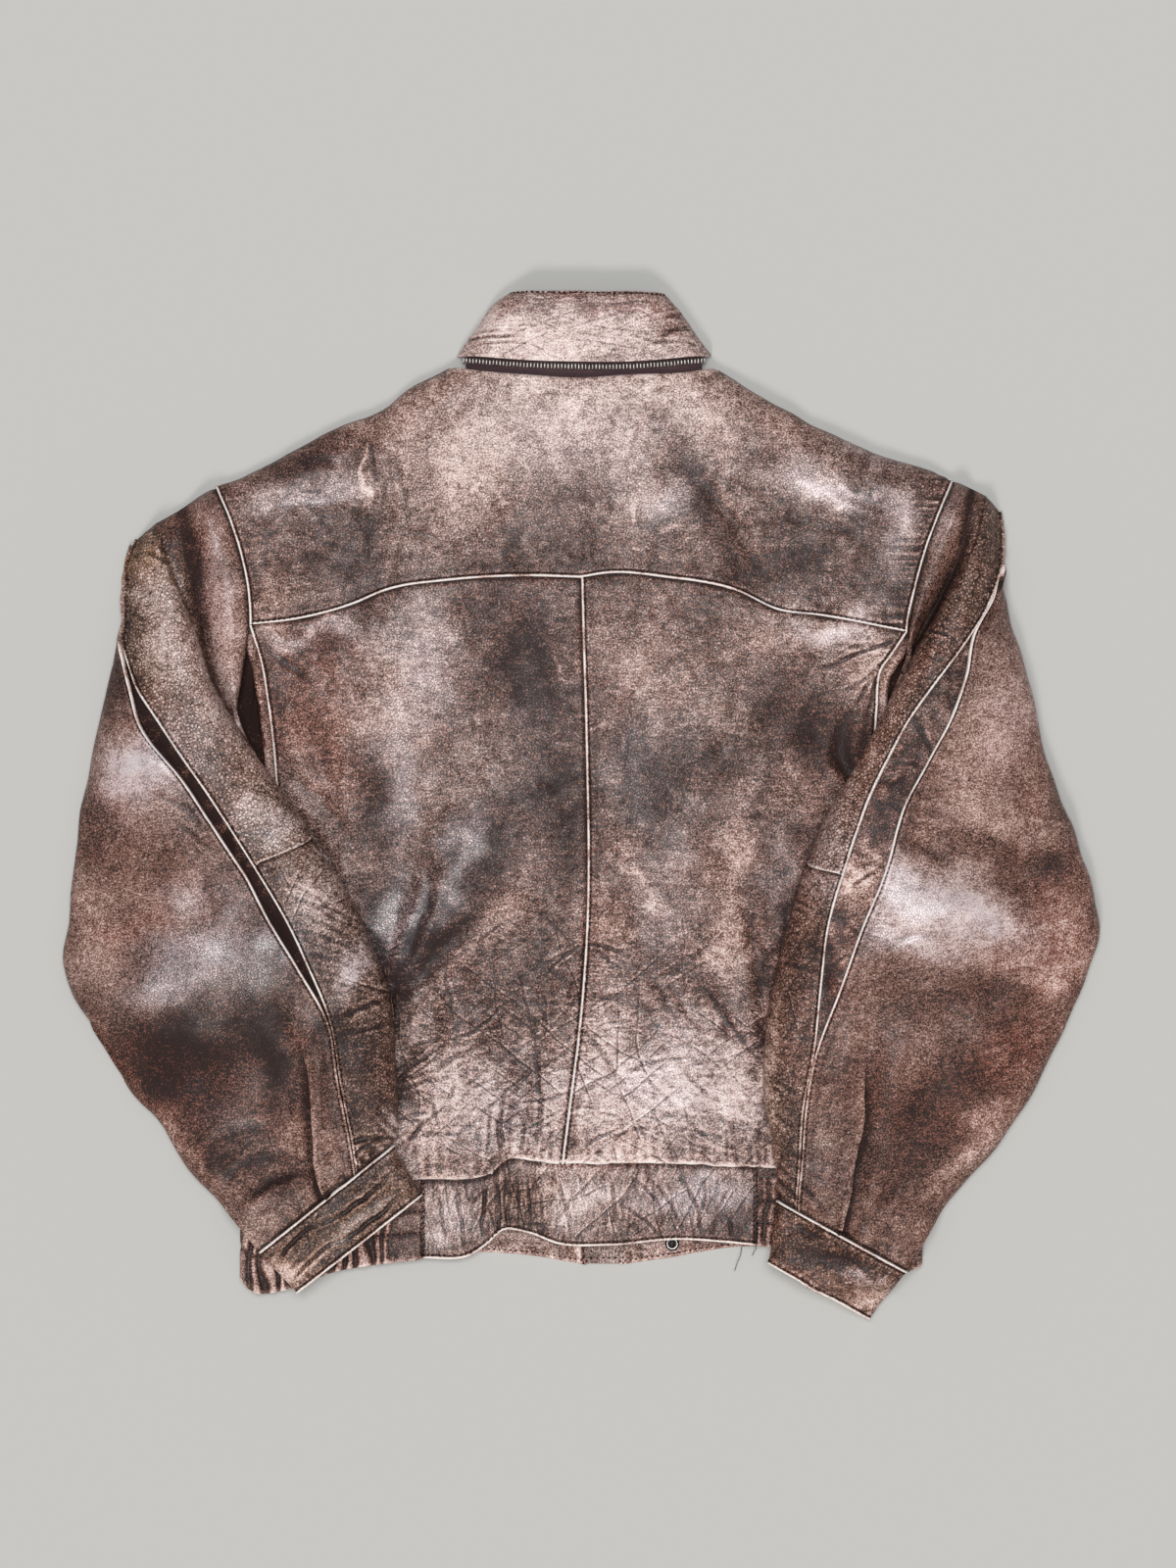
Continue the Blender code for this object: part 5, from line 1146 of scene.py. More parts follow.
def make_tape(material, metal):
    """The tape below the collar and the zip's teeth along it."""
    columns, rows = 121, 13
    across = np.linspace(-1, 1, columns)
    low = np.stack([np.linspace(-81, 85, columns), 297 + 4 * across ** 2], axis=1)
    high = fine(ZIP_LINE, columns)
    high = np.stack([low[:, 0], np.interp(low[:, 0], high[:, 0], high[:, 1]) + 2.5], axis=1)
    up = np.linspace(0, 1, rows)
    plan = ruled(low, high, up)
    surface = Surface(lifted(plan, tape_height(plan[..., 0])), 1)
    surface.relief += 0.25 * np.sin(up[:, None] * 4 * np.pi)
    leather_piece("collar_zip_tape", surface, material, 1.0, "woven")

    line = fine(ZIP_LINE, 200)[6:-6]
    path = np.concatenate([line - (0, 2.4), (tape_height(line[:, 0]) + 1.1)[:, None]], axis=1)
    facing = np.tile((0.0, -0.25, 1.0), (len(path), 1))
    made = repeated_along("collar_zip_teeth", [(path, facing)], tooth_tree(metal))


# ---------------------------------------------------------------- waistband

def make_band_back(material):
    """The plain back of the waistband, crinkled by wear."""
    step = sizes().step / MM * 0.75
    across = shares(BAND_RIGHT_X - BAND_LEFT_X, step, start=True, end=True)
    down = shares(BAND_DEPTH, step, end=True)
    plan = ruled(level_row(BAND_LEFT_X, BAND_RIGHT_X, WAIST_Y + 14, across), along(BAND_HEM, across), down)
    x, y = plan[..., 0], plan[..., 1]
    surface = Surface(lifted(plan, np.full(plan.shape[:2], BAND_TOP)), -1)
    surface.swell(51, 40, 0.6)
    surface.swell(52, 17, 0.35)
    surface.creases(BAND_CREASES)
    surface.crease(0.16 * waves(x, y * 0.5, 53, 8))
    pinched = bell(x + 50, 20)
    upright = (0.3 + 0.6 * pinched) * network(x, y, 88, 7.5, 55, 1.3)
    surface.crease(upright * smoothstep((0.2 + pinched) * 2), 1.2)
    slanting = 0.6 * (1 - pinched) * network(x, y, -58, 17.0, 57, 1.5)
    surface.crease(slanting * smoothstep((x + 10) / 30), 1.2)
    surface.welt(surface.to_line(BAND_HEM), 0.75)
    hem_shadow_distance = np.minimum(surface.to_line(BLOUSE_LEFT), surface.to_line(BLOUSE_RIGHT))
    to_ends = np.minimum(x - BAND_LEFT_X, BAND_RIGHT_X - x)
    from_stitches, from_edge_row = to_ends - EDGE_OFFSETS[STITCH_LINE], to_ends - EDGE_OFFSETS[EDGE_ROW]
    # Painted shadow under the bloused hem of the back; the stitch rows at the ends are lowered and darkened
    # as painted shade
    surface.tone["dark"] += 0.9 * bell(hem_shadow_distance, 2.6)
    surface.tone["dark"] += 0.5 * bell(from_stitches, 0.9) + 0.5 * bell(from_edge_row, 0.7)
    surface.relief -= 0.35 * bell(from_stitches, 0.8) + 0.7 * bell(to_ends, 0.8)
    surface.wear_and_shading(BODY_WEAR_AND_SHADING, BODY_POLISH_AND_SHEEN, BODY_LINES)
    leather_piece("waistband_back", surface, material)
    surface.stitch("last", 0.02, 0.98)
    for side in SIGN:
        surface.stitch(side, 0.2, 0.94)
        surface.stitch(side, 0.2, 0.96, EDGE_ROW)


def make_band_sides(material):
    """The ruched sides of the waistband, which turn under to the fronts."""
    for side, inner_x, hem_line, row_heights in (("left", BAND_LEFT_X, LEFT_SIDE_HEM, (0.42, 0.68)),
                                                 ("right", BAND_RIGHT_X, RIGHT_SIDE_HEM, (0.34, 0.66))):
        sign, start, fold = SIGN[side], abs(inner_x), SIDE_X - 3
        roll = BAND_TOP / 2
        over = [(between(start, fold - roll, t), BAND_TOP) for t in np.linspace(0, 1, 121)[:-1]]
        turn = [(fold - roll + roll * np.cos(a), roll + roll * np.sin(a))
                for a in np.radians(range(90, -91, -12))]
        under = [(fold - 8 - 8 * t, 0.05) for t in range(11)]
        section = np.array(over + turn + under)
        section = section[:len(section) - (len(section) + 1) % 2]
        length = np.concatenate([[0], np.cumsum(np.linalg.norm(np.diff(section, axis=0), axis=1))])
        hem_y = along(hem_line, length / length[-1])[:, 1]
        down = shares(70, 1.6, end=True)
        x, z = sign * section[:, 0], section[:, 1]
        rows = [np.stack([x, between(WAIST_Y, hem_y, t), z], axis=1) for t in down]
        surface = Surface(np.array(rows), -sign)
        t, length = down[:, None], length[None]
        pinch = sum(bell(t - row, 0.035) for row in row_heights)
        uneven = waves(length + 0 * t, t * 14, 62, 16, 8)
        turns = (length + 1.6 * waves(t * 60, 0 * t, 61, 30, 4)) / 9.5 + 0.45 * uneven
        gathered = smoothstep((length - 14) / 8) if side == "left" else 0.5
        on_top = smoothstep((fold - start - length + 4) / 12)
        ruche = np.sin(2 * np.pi * turns) * (1.6 + 0.6 * uneven) * gathered * on_top
        surface.crease(ruche * (1 - 0.75 * pinch), 0.9)
        # The pinched stitch lines are lowered and darkened with painted shade, and the whole side is a
        # little darker
        surface.relief -= 0.8 * pinch
        surface.tone["dark"] += 0.5 * pinch + 0.18
        surface.tone["warm"] += 0.25
        surface.round_off((1 - t) * 62 + 0 * length, 1.8, 0.9)
        leather_piece("waistband_side_" + side, surface, material)
        for row in row_heights:
            surface.stitch("first", 0.0, 0.62, int(np.abs(down - row).argmin()))


def make_band_fronts(material):
    """The inner faces of the waistband's fronts, with the stitching of hem and placket."""
    for side, hem_line in (("left", FRONT_HEM_LEFT), ("right", FRONT_HEM_RIGHT)):
        across = shares(curve_length(hem_line), 1.5, start=True, end=True)
        down = shares(54, 1.5, end=True)
        hem = along(hem_line, across)
        plan = ruled(level_row(hem[0, 0], hem[-1, 0], WAIST_Y - 0.3, across), hem, down)
        x, y = plan[..., 0], plan[..., 1]
        surface = Surface(lifted(plan, np.full(plan.shape[:2], WALL + 0.4)), -1)
        surface.swell(71, 22, 0.45)
        near = bell(np.minimum(np.abs(x + 8), np.abs(x - 38)), 14)
        surface.crease(0.35 * near * waves(x, y * 0.3, 72, 8) - 0.2 * crackle(x, y, 73, 18, 0.07))
        to_hem = surface.to_line(hem_line)
        surface.round_off(to_hem, 1.2, 0.4)
        surface.tone["warm"] += 0.5 * bell(to_hem, 3) + 0.25
        surface.tone["dark"] += 0.08
        surface.tone["rub"] += 0.30
        for edge in PLACKET_TURNS:
            surface.tone["rub"] += 0.9 * bell(x - edge, 1.3)
            # painted shade beside each turned edge of the placket
            surface.tone["dark"] += 0.8 * bell(x - edge - 2.8, 1.6)
        leather_piece("waistband_front_" + side, surface, material, thickness=WALL - 0.2)
        surface.stitch("last", 0.0 if side == "right" else 0.55)
        surface.stitch("left" if side == "right" else "right", 0.4, 0.93)
    low, far = PLACKET_X[0] + 3, PLACKET_X[1] - 3
    top, bottom = -300, PLACKET_END_Y + 4
    corners = (low, top), (low, bottom), (far, bottom), (far, top)
    points = np.array([(x, y, WALL + 0.35) for x, y in corners])
    for first, last in zip(points, points[1:]):
        seams.append((np.linspace(first, last, 12), np.tile((0.0, 0.0, 1.0), (12, 1))))


def make_snap(metal):
    """The ring of the snap's socket, turned from its profile: bright metal on its top band, and metal
    painted in shade elsewhere.
    """
    around, base = 48, WALL + 0.35
    (x, y), (top, *profile) = SNAP_AT, SNAP_PROFILE
    points = [(x, y, base + top[1])]
    for radius, z in profile:
        points += [(x + radius * np.cos(a), y + radius * np.sin(a), base + z)
                   for a in np.linspace(0, 2 * np.pi, around, endpoint=False)]
    last = len(points)
    points.append((x, y, base + profile[-1][1]))
    number = np.arange(1, last).reshape(-1, around)
    faces = quads(number, True)[:, [0, 3, 2, 1]].tolist()
    first_ring, last_ring = number[0].tolist(), number[-1].tolist()
    faces += [(0, first_ring[j], first_ring[(j + 1) % around]) for j in range(around)]
    faces += [(last, last_ring[(j + 1) % around], last_ring[j]) for j in range(around)]
    made = mesh_object("snap_socket_ring", np.array(points), faces, metal)
    made.data.materials.append(material("metal"))
    # the ring's top band takes the bright metal, and the rest the metal painted in shade
    for polygon in made.data.polygons:
        radius = np.hypot(polygon.center.x / MM + CENTRE[0] - x, polygon.center.y / MM - y)
        polygon.material_index = int(2.7 < radius < 3.8)
    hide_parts("snap_socket")


# ---------------------------------------------------------------- sleeves

class Sections:
    """A sleeve's sections at the given rows of its table: plan points of its lip, edge and seams, and
    its heights."""

    def __init__(self, side, at):
        table, cap, armhole = SLEEVES[side]
        self.first_line = (armhole[0], table[0][:2], table[0][2:4])
        self.rows = rows = dict(zip(SLEEVE_COLUMNS, hermite(np.arange(len(table)), table, at).T))
        in_cap = np.minimum(at, len(cap) - 1)
        self.caps = caps = dict(zip(CAP_COLUMNS, hermite(np.arange(len(cap)), cap, in_cap).T))
        self.armhole = along(armhole, np.clip(caps["seam"], 0, 1))
        self.armhole[:, 0] += np.sign(self.armhole[:, 0]) * 0.2
        self.lip = np.stack([rows["lip_x"], rows["lip_y"]], axis=1)
        self.edge = np.stack([rows["edge_x"], rows["edge_y"]], axis=1)
        self.width = np.linalg.norm(self.edge - self.lip, axis=1)
        self.closed = smoothstep(at - (len(cap) - 1))
        on_body = support(self.lip[:, 0], self.lip[:, 1]) + 7
        self.fold_z = between(caps["fold_z"], on_body, self.closed)[:, None]
        self.edge_z = (rows["edge_z"] + support(self.edge[:, 0], self.edge[:, 1]))[:, None]

    def rounded(self, plan, height):
        """Plan points and heights, brought down to the floor along the sleeve's first line."""
        to_first = distance_to(self.first_line, plan[..., 0], plan[..., 1])
        return lifted(plan, height * turn_down(to_first, SHOULDER_ROLL))

    def over_the_top(self, across):
        """Points on the upper side, across 0 at the lip and 1 at the edge."""
        share = angle_share(across)
        plan = between(self.lip[:, None], self.edge[:, None], across[..., None])
        lean = 1 + 0.25 * (1 - 2 * across)
        crown = self.rows["crown"][:, None] * np.sin(np.pi * share) ** 0.85 * lean
        height = between(self.fold_z, self.edge_z, across) + crown
        return self.rounded(plan, height + folds(SLEEVE_FOLDS, plan[..., 0], plan[..., 1]))

    def over_the_cap(self, share):
        """Points from the armhole seam over the cap and down the valley to the lip; below the underarm
        the same columns run from the underarm seam along the underside to the lip."""
        share = np.broadcast_to(share, (len(self.lip), np.shape(share)[-1]))
        plan = between(self.armhole[:, None], self.lip[:, None], share[..., None])
        valley = self.caps["valley"][:, None]
        rising = np.clip(share / valley, 0, 1)
        height = between(self.caps["seam_z"][:, None], self.caps["valley_z"][:, None], rising)
        height = height + CAP_BULGE * np.sin(np.pi * rising) ** 1.2
        climb = smoothstep((share - valley) / (1 - valley))
        cap = self.rounded(plan, between(height, self.fold_z, climb))

        inner = between(self.lip, self.edge, INNER_SEAM)
        angle = np.pi / 2 * share
        plan = between(inner[:, None], self.lip[:, None], np.sin(angle)[..., None])
        resting = support(plan[..., 0], plan[..., 1])
        tube = lifted(plan, between(resting, self.fold_z, (1 - np.cos(angle)) ** 2))
        return between(cap, tube, self.closed[:, None, None])

    def underneath(self, share, sign):
        """Points on the underside, share 0 at the edge and 1 at the armhole or the underarm seam."""
        share = np.broadcast_to(share, (len(self.lip), np.shape(share)[-1]))
        front_seam = self.armhole.copy()
        front_seam[:, 0] = sign * np.maximum(np.abs(front_seam[:, 0]), SIDE_X + 1) + sign * 2
        inner = between(self.lip, self.edge, (INNER_SEAM + SEAM_SPREAD / self.width)[:, None])
        end = between(front_seam, inner, self.closed[:, None])
        angle = np.pi / 2 * share
        plan = between(self.edge[:, None], end[:, None], 1 - np.cos(angle)[..., None])
        resting = support(plan[..., 0], plan[..., 1])
        return lifted(plan, between(resting, self.edge_z, (1 - np.sin(angle)) ** 3))


def angle_share(across):
    """Which share of the half turn stands at a share of the width."""
    return np.arccos(1 - 2 * np.clip(across, 0, 1)) / np.pi


def across_share(share):
    """Which share of the width stands at a share of the half turn."""
    return (1 - np.cos(np.pi * share)) / 2


def welt_strength(side, at):
    """How strong a sleeve's welts are: less where the gusset has ended and they lie together."""
    return 0.9 * (1 - 0.7 * smoothstep((at - GUSSET_ROWS[side][1] + 0.5) / 0.6))


def make_strip(side, part, material):
    """A sleeve's upper or lower back piece: from the armhole or the underarm seam over the lip, and
    across the coarse strip to its welt."""
    table, cap, _ = SLEEVES[side]
    last = len(table) - 1
    upper = part == "upper"
    step = sizes().step / MM
    fold_count, flat_count = 26, 27
    offsets = np.array(EDGE_OFFSETS[::-1])
    columns = np.arange(fold_count + flat_count + len(offsets))
    slant = np.clip((columns - fold_count) / (flat_count + len(offsets) - 1), 0, 1)
    elbow = between(*ELBOW[side], slant[None])
    if upper:
        at = elbow * shares(STRIP_LENGTHS[part], step, end=True)[:, None]
    else:
        at = between(elbow, last, shares(STRIP_LENGTHS[part], step, start=True, end=True)[:, None])
    made = []
    for column in columns:
        sections = Sections(side, at[:, column])
        if column < fold_count:
            points = sections.over_the_cap(np.array([column / fold_count]))
        else:
            welt = np.minimum(sections.rows["welt"], 0.965)
            inset = np.minimum(EDGE_OFFSETS[-1] / sections.width, welt * 0.5)
            flat_share = (column - fold_count) / flat_count
            if flat_share < 1:
                across = across_share(angle_share(welt - inset) * flat_share)
            else:
                across = welt - inset * offsets[column - fold_count - flat_count] / EDGE_OFFSETS[-1]
            points = sections.over_the_top(across[:, None])
        made.append(points[:, 0])
    surface = Surface(np.stack(made, axis=1), -SIGN[side])
    x, y = surface.x, surface.y
    on_strip = smoothstep((columns[None] - fold_count + 8) / 8) + 0 * x
    beside = surface.from_edge("right")
    surface.tone["coarse"] += on_strip * (1.0 if upper else 0.75)
    if upper:
        along_cap = np.minimum(at[:, :1], len(cap) - 1)
        valley = hermite(np.arange(len(cap)), np.array(cap, float)[:, 2], along_cap)
        from_valley = columns[None] / fold_count - valley - 0.02
        # Painted shade in the valley between the cap and the strip
        surface.tone["dark"] += 1.05 * bell(from_valley, 0.12) * (1 - smoothstep(at - (len(cap) - 1)))
    surface.swell(81, 40, 0.5)
    surface.creases(SLEEVE_CREASES, on_strip)
    surface.grain(82, 0.16, 7, 0.16, 20, 0.07, on_strip)
    surface.welt(beside, welt_strength(side, at))
    on_outline = smoothstep((np.interp(at, range(len(table)), np.array(table)[:, 4]) - 0.86) / 0.1)
    surface.tone["rub"] *= 1 - 0.8 * on_outline * bell(beside, 4)
    to_elbow = surface.from_edge("last" if upper else "first")
    if upper:
        surface.relief += 0.7 * bell(to_elbow - 1.2, 1.1) * on_strip
        surface.tone["rub"] += 0.95 * bell(to_elbow, 1.5)
        surface.tuck_under_in_shade(surface.from_edge("left"))
    else:
        to_cuff = surface.from_edge("last")
        surface.tuck_under_in_shade(to_elbow)
        surface.puckers(to_elbow + 2, x + y, 6.0, 14.0, 0.35, seed=84)
        surface.puckers(to_cuff, x + y, 11.0, 14.0, 0.8, seed=85)
        surface.tuck_under_in_shade(to_cuff)
    surface.wear_and_shading(SLEEVE_WEAR_AND_SHADING, SLEEVE_POLISH_AND_SHEEN, SLEEVE_LINES)
    leather_piece(f"sleeve_{side}_back_{part}", surface, material)
    surface.stitch("right", WELT_STARTS[side][0] if upper else 0.0, 0.99)


def make_sleeve_front(side, material):
    """The large piece of a sleeve, from its welt over the outline and back along the underside, with
    the tuck above the cuff."""
    sign = SIGN[side]
    run = shares(SLEEVE_LENGTH, sizes().step / MM * 1.45, end=True)
    at = between(0.15, len(SLEEVES[side][0]) - 1, run)
    sections = Sections(side, at)
    width = sections.width
    start = np.minimum(sections.rows["gusset"] + SEAM_SPREAD / width, 0.975)[:, None]
    rest = 1 - start
    scale = np.minimum(1 / width[:, None], rest * 0.4 / EDGE_OFFSETS[-1])
    first = start + np.array(EDGE_OFFSETS)[None] * scale

    rows_of_tuck, across_of_tuck = np.array(TUCK[side]).T
    opens, full = TUCK_OPENS[side]
    opening = smoothstep((at - opens) / (full - opens))[:, None]
    settled = smoothstep((at - rows_of_tuck[0] + 2.2) / 2.2)[:, None]
    middle = between(start + rest * 0.30, np.interp(at, rows_of_tuck, across_of_tuck)[:, None], settled)
    flat, folded, drop = (column[None] for column in np.array(TUCK_PROFILE).T)
    squeeze = np.minimum(1 / width[:, None], rest * 0.12 / 16.0)
    tuck = middle + between(flat, folded, opening) * squeeze
    before = np.linspace(0, 1, 26)[None, 1:-1]
    after = np.linspace(0, 1, 62)[None, 1:]
    filled = across_share(between(angle_share(first[:, -1:]), angle_share(tuck[:, :1]), before))
    beyond = across_share(between(angle_share(tuck[:, -1:]), 1.0, after))
    across = np.concatenate([first, filled, tuck, beyond], axis=1)
    top = sections.over_the_top(across)
    tuck_from = first.shape[1] + filled.shape[1]
    top[:, tuck_from:tuck_from + tuck.shape[1], 2] += drop * opening
    ends = np.sqrt(np.linspace(0, 1, 22 - (across.shape[1] + 1) % 2))[1:]
    under_share = np.concatenate([[0.03, 0.06], 0.06 + 0.94 * ends ** 2])
    grid = np.concatenate([top, sections.underneath(under_share, sign)], axis=1)
    if grid.shape[1] % 2 == 0:
        grid = np.delete(grid, -2, axis=1)
    surface = Surface(grid, -sign)
    x, y = surface.x, surface.y
    column = np.arange(grid.shape[1])[None]
    above = (column < top.shape[1]) + 0 * x
    surface.swell(91, 85, 2.0)
    surface.swell(92, 38, 0.9)
    surface.creases(SLEEVE_CREASES, above)
    surface.grain(93, 0.09, 9, 0.12, 34, 0.05, above)
    surface.welt(surface.from_edge("left"), welt_strength(side, at)[:, None])
    surface.tone["rub"] *= 0.12 + 0.88 * smoothstep((0.97 - start) / 0.03)
    to_cuff = surface.from_edge("last")
    surface.puckers(to_cuff, x * 0.8 - sign * y * 0.6, 17.0, 14.0, 0.4 * above, seed=95)
    surface.tuck_under_in_shade(to_cuff)
    inside_fold = smoothstep((column - tuck_from - 4) / 2) * smoothstep((tuck_from + 12.5 - column) / 3)
    surface.tone["rub"] += 0.35 * opening * bell(column - tuck_from - 3, 1.3)
    # Painted shade inside the tuck's fold
    surface.tone["dark"] += 1.5 * opening * inside_fold
    surface.wear_and_shading(SLEEVE_WEAR_AND_SHADING, SLEEVE_POLISH_AND_SHEEN, SLEEVE_LINES)
    leather_piece(f"sleeve_{side}_front", surface, material)
    surface.stitch("left", WELT_STARTS[side][1], 0.99)


def make_gusset(side, material):
    """The strip let in behind the two welts of a sleeve."""
    sections = Sections(side, np.linspace(*GUSSET_ROWS[side], 161))
    share = np.linspace(0, 1, 21)[None]
    low = sections.rows["welt"] - 4 / sections.width
    high = np.minimum(sections.rows["gusset"] + 4 / sections.width, 0.97)
    strip = sections.over_the_top(between(low[:, None], high[:, None], share))
    strip -= grid_normals(strip) * SIGN[side] * GUSSET_DROP
    surface = Surface(strip, -SIGN[side])
    surface.creases(GUSSET_CREASES)
    surface.grain(101, 0.35, 13, 0.35, 22, 0.09)
    surface.relief -= 0.8 * np.sin(np.pi * share)
    # Painted shade: the left gusset is darkened nearly black so that it reads as a narrow slit
    surface.tone["dark"] += 0.30 if side == "right" else 1.7
    surface.wear_and_shading(GUSSET_WEAR_AND_SHADING)
    leather_piece(f"sleeve_{side}_gusset", surface, material, thickness=1.0)


def make_cuff(side, material):
    """The cuff, a flattened tube beyond the sleeve's end."""
    start, end = np.array(CUFFS[side], float)
    turn = np.linspace(0, 2, 176, endpoint=False)
    share = np.where(turn <= 1, turn, 2 - turn)
    bulge = np.clip(np.sin(np.pi * share), 0, 1)
    down = shares(CUFF_DEPTH, 1.1, start=True, end=True)
    rows = []
    for t in 0.01 + 0.99 * down:
        corners = between(start, end, t)
        plan = between(corners[:2], corners[2:], across_share(share)[:, None])
        resting = support(plan[:, 0], plan[:, 1])
        height = np.where(turn <= 1, resting + 4.5 + (CUFF_RISE - 2 * t) * bulge ** 0.6,
                          resting + 4.5 * (1 - bulge) ** 2)
        rows.append(lifted(plan, height))
    surface = Surface(np.array(rows), -SIGN[side], closed=True)
    above = smoothstep(np.sin(np.pi * turn) * 4)[None] + 0 * surface.x
    surface.tone["coarse"] += 0.7
    surface.swell(111, 26, 0.5)
    surface.creases(CUFF_CREASES, above, 0.8)
    surface.grain(112, 0.14, 7, 0.16, 18, 0.07, above)
    surface.welt(np.minimum(surface.from_edge("first"), surface.from_edge("last")))
    surface.wear_and_shading(SLEEVE_WEAR_AND_SHADING, SLEEVE_POLISH_AND_SHEEN, SLEEVE_LINES)
    leather_piece("cuff_" + side, surface, material)
    points, shown = surface.raised(), len(turn) // 2 + 1
    for row in (STITCH_LINE, len(down) - 1 - STITCH_LINE):
        facing = surface.out[row, :shown]
        seams.append((points[row, :shown] + THREAD_LIFT * facing, facing))


# ---------------------------------------------------------------- trees of nodes

class Value:
    """A socket of a node tree, with which nodes are wired up by plain arithmetic."""

    def __init__(self, wiring, socket):
        self.wiring, self.socket = wiring, socket

    def __add__(self, other):
        return self.wiring.math("ADD", self, other)

    def __sub__(self, other):
        return self.wiring.math("SUBTRACT", self, other)

    def __rsub__(self, other):
        return self.wiring.math("SUBTRACT", other, self)

    def __mul__(self, other):
        return self.wiring.math("MULTIPLY", self, other)

    def __truediv__(self, other):
        return self.wiring.math("DIVIDE", self, other)

    def __abs__(self):
        return self.wiring.math("ABSOLUTE", self)

    __radd__, __rmul__ = __add__, __mul__


class Wiring:
    """Short calls for the nodes of one tree."""

    def __init__(self, tree):
        self.nodes, self.links = tree.nodes, tree.links

    def put(self, target, value):
        """Links a value or a socket, or sets a constant."""
        value = value.socket if isinstance(value, Value) else value
        if isinstance(value, bpy.types.NodeSocket):
            self.links.new(value, target)
        else:
            target.default_value = value

    def fill(self, node, inputs):
        """Puts values into a node's inputs, which are given by name or number."""
        for label, value in inputs.items():
            self.put(node.inputs[label], value)

    def node(self, kind, inputs, output=0, **settings):
        """One output of a new node with these inputs and settings."""
        made = self.nodes.new(kind)
        for setting, value in settings.items():
            setattr(made, setting, value)
        self.fill(made, inputs)
        return Value(self, made.outputs[output])

    def group_sockets(self):
        """What the tree is given, by name, and the inputs of its result."""
        given = {socket.name: Value(self, socket) for socket in self.nodes.new("NodeGroupInput").outputs}
        return given, self.nodes.new("NodeGroupOutput")

    def math(self, operation, *values):
        """A Math node's output."""
        return self.node("ShaderNodeMath", dict(enumerate(values)), operation=operation)

    def clamped(self, value):
        """The value of a Math node, kept between 0 and 1."""
        value.socket.node.use_clamp = True
        return value

    def ramp(self, value, low, high, to_low=0.0, to_high=1.0):
        """The value's place between low and high, eased, as a number between to_low and to_high."""
        places = dict(enumerate((value, low, high, to_low, to_high)))
        return self.node("ShaderNodeMapRange", places, interpolation_type="SMOOTHSTEP")

    def mix(self, factor, first, second):
        """A colour mixed between two."""
        return self.node("ShaderNodeMix", {"Factor": factor, "A": first, "B": second}, "Result",
                         data_type="RGBA")

    def noise(self, vector, scale, detail=3.0, roughness=0.55, distortion=0.0):
        """A noise texture's factor."""
        return self.node("ShaderNodeTexNoise", {"Vector": vector, "Scale": scale, "Detail": detail,
                                                "Roughness": roughness, "Distortion": distortion}, "Fac")

    def cells(self, vector, scale):
        """Distance from the nearest border between cells, 0 on the border."""
        return self.node("ShaderNodeTexVoronoi", {"Vector": vector, "Scale": scale}, "Distance",
                         feature="DISTANCE_TO_EDGE")

    def turned(self, vector, turn, **axes):
        """The vector in axes that are turned about Z."""
        rotation = self.node("ShaderNodeCombineXYZ", {"Z": turn})
        return self.node("ShaderNodeMapping", {"Vector": vector, "Rotation": rotation, **axes},
                         vector_type="TEXTURE")

    def bump(self, height, distance, strength=1.0):
        """A normal that follows a height."""
        return self.node("ShaderNodeBump", {"Strength": strength, "Distance": distance, "Height": height},
                         "Normal")

    def line_family(self, vector, turn, spacing, seed):
        """Long fine creases about a spacing apart at a turn: how deep into one a point is, darkened as
        painted shade, and whether it is on the ridge along one side of it, lit as a painted highlight."""
        place = self.turned(vector, turn, Location=(0.1 * seed, 0.07 * seed, 0.0))
        run, side = (self.node("ShaderNodeSeparateXYZ", {0: place}, axis) for axis in "XY")
        away = side / spacing + (self.noise(place, 11.0, 2.5, 0.42) - 0.5) * 3.2
        number = self.math("ROUND", away)
        white = self.node("ShaderNodeTexWhiteNoise", {"W": number + (seed + 0.5)}, "Value",
                          noise_dimensions="1D")
        off = (away - number - (white - 0.5) * 0.7) * spacing
        cell = self.node("ShaderNodeCombineXYZ", {"X": run * 13.0, "Y": number * 3.7})
        present = self.ramp(self.noise(cell, 1.0, 2.0, 0.5), 0.46, 0.62)
        ridge = self.ramp(off, 0.0006, 0.0012) * self.ramp(off, 0.0014, 0.0026, 1.0, 0.0)
        return present * self.ramp(abs(off), 0.0001, 0.0009, 1.0, 0.0), present * ridge


def new_tree(name, kind, inputs, outputs):
    """A named tree of this kind with its sockets; an input's kind or value may be given."""
    tree = bpy.data.node_groups.new(name, kind)
    for label, (socket_kind, value) in inputs.items():
        socket = tree.interface.new_socket(label, in_out="INPUT", socket_type="NodeSocket" + socket_kind)
        if value is not None:
            socket.default_value = value
    for label, socket_kind in outputs.items():
        tree.interface.new_socket(label, in_out="OUTPUT", socket_type="NodeSocket" + socket_kind)
    w = Wiring(tree)
    return (tree, w, *w.group_sockets())


# ---------------------------------------------------------------- what repeats along a line

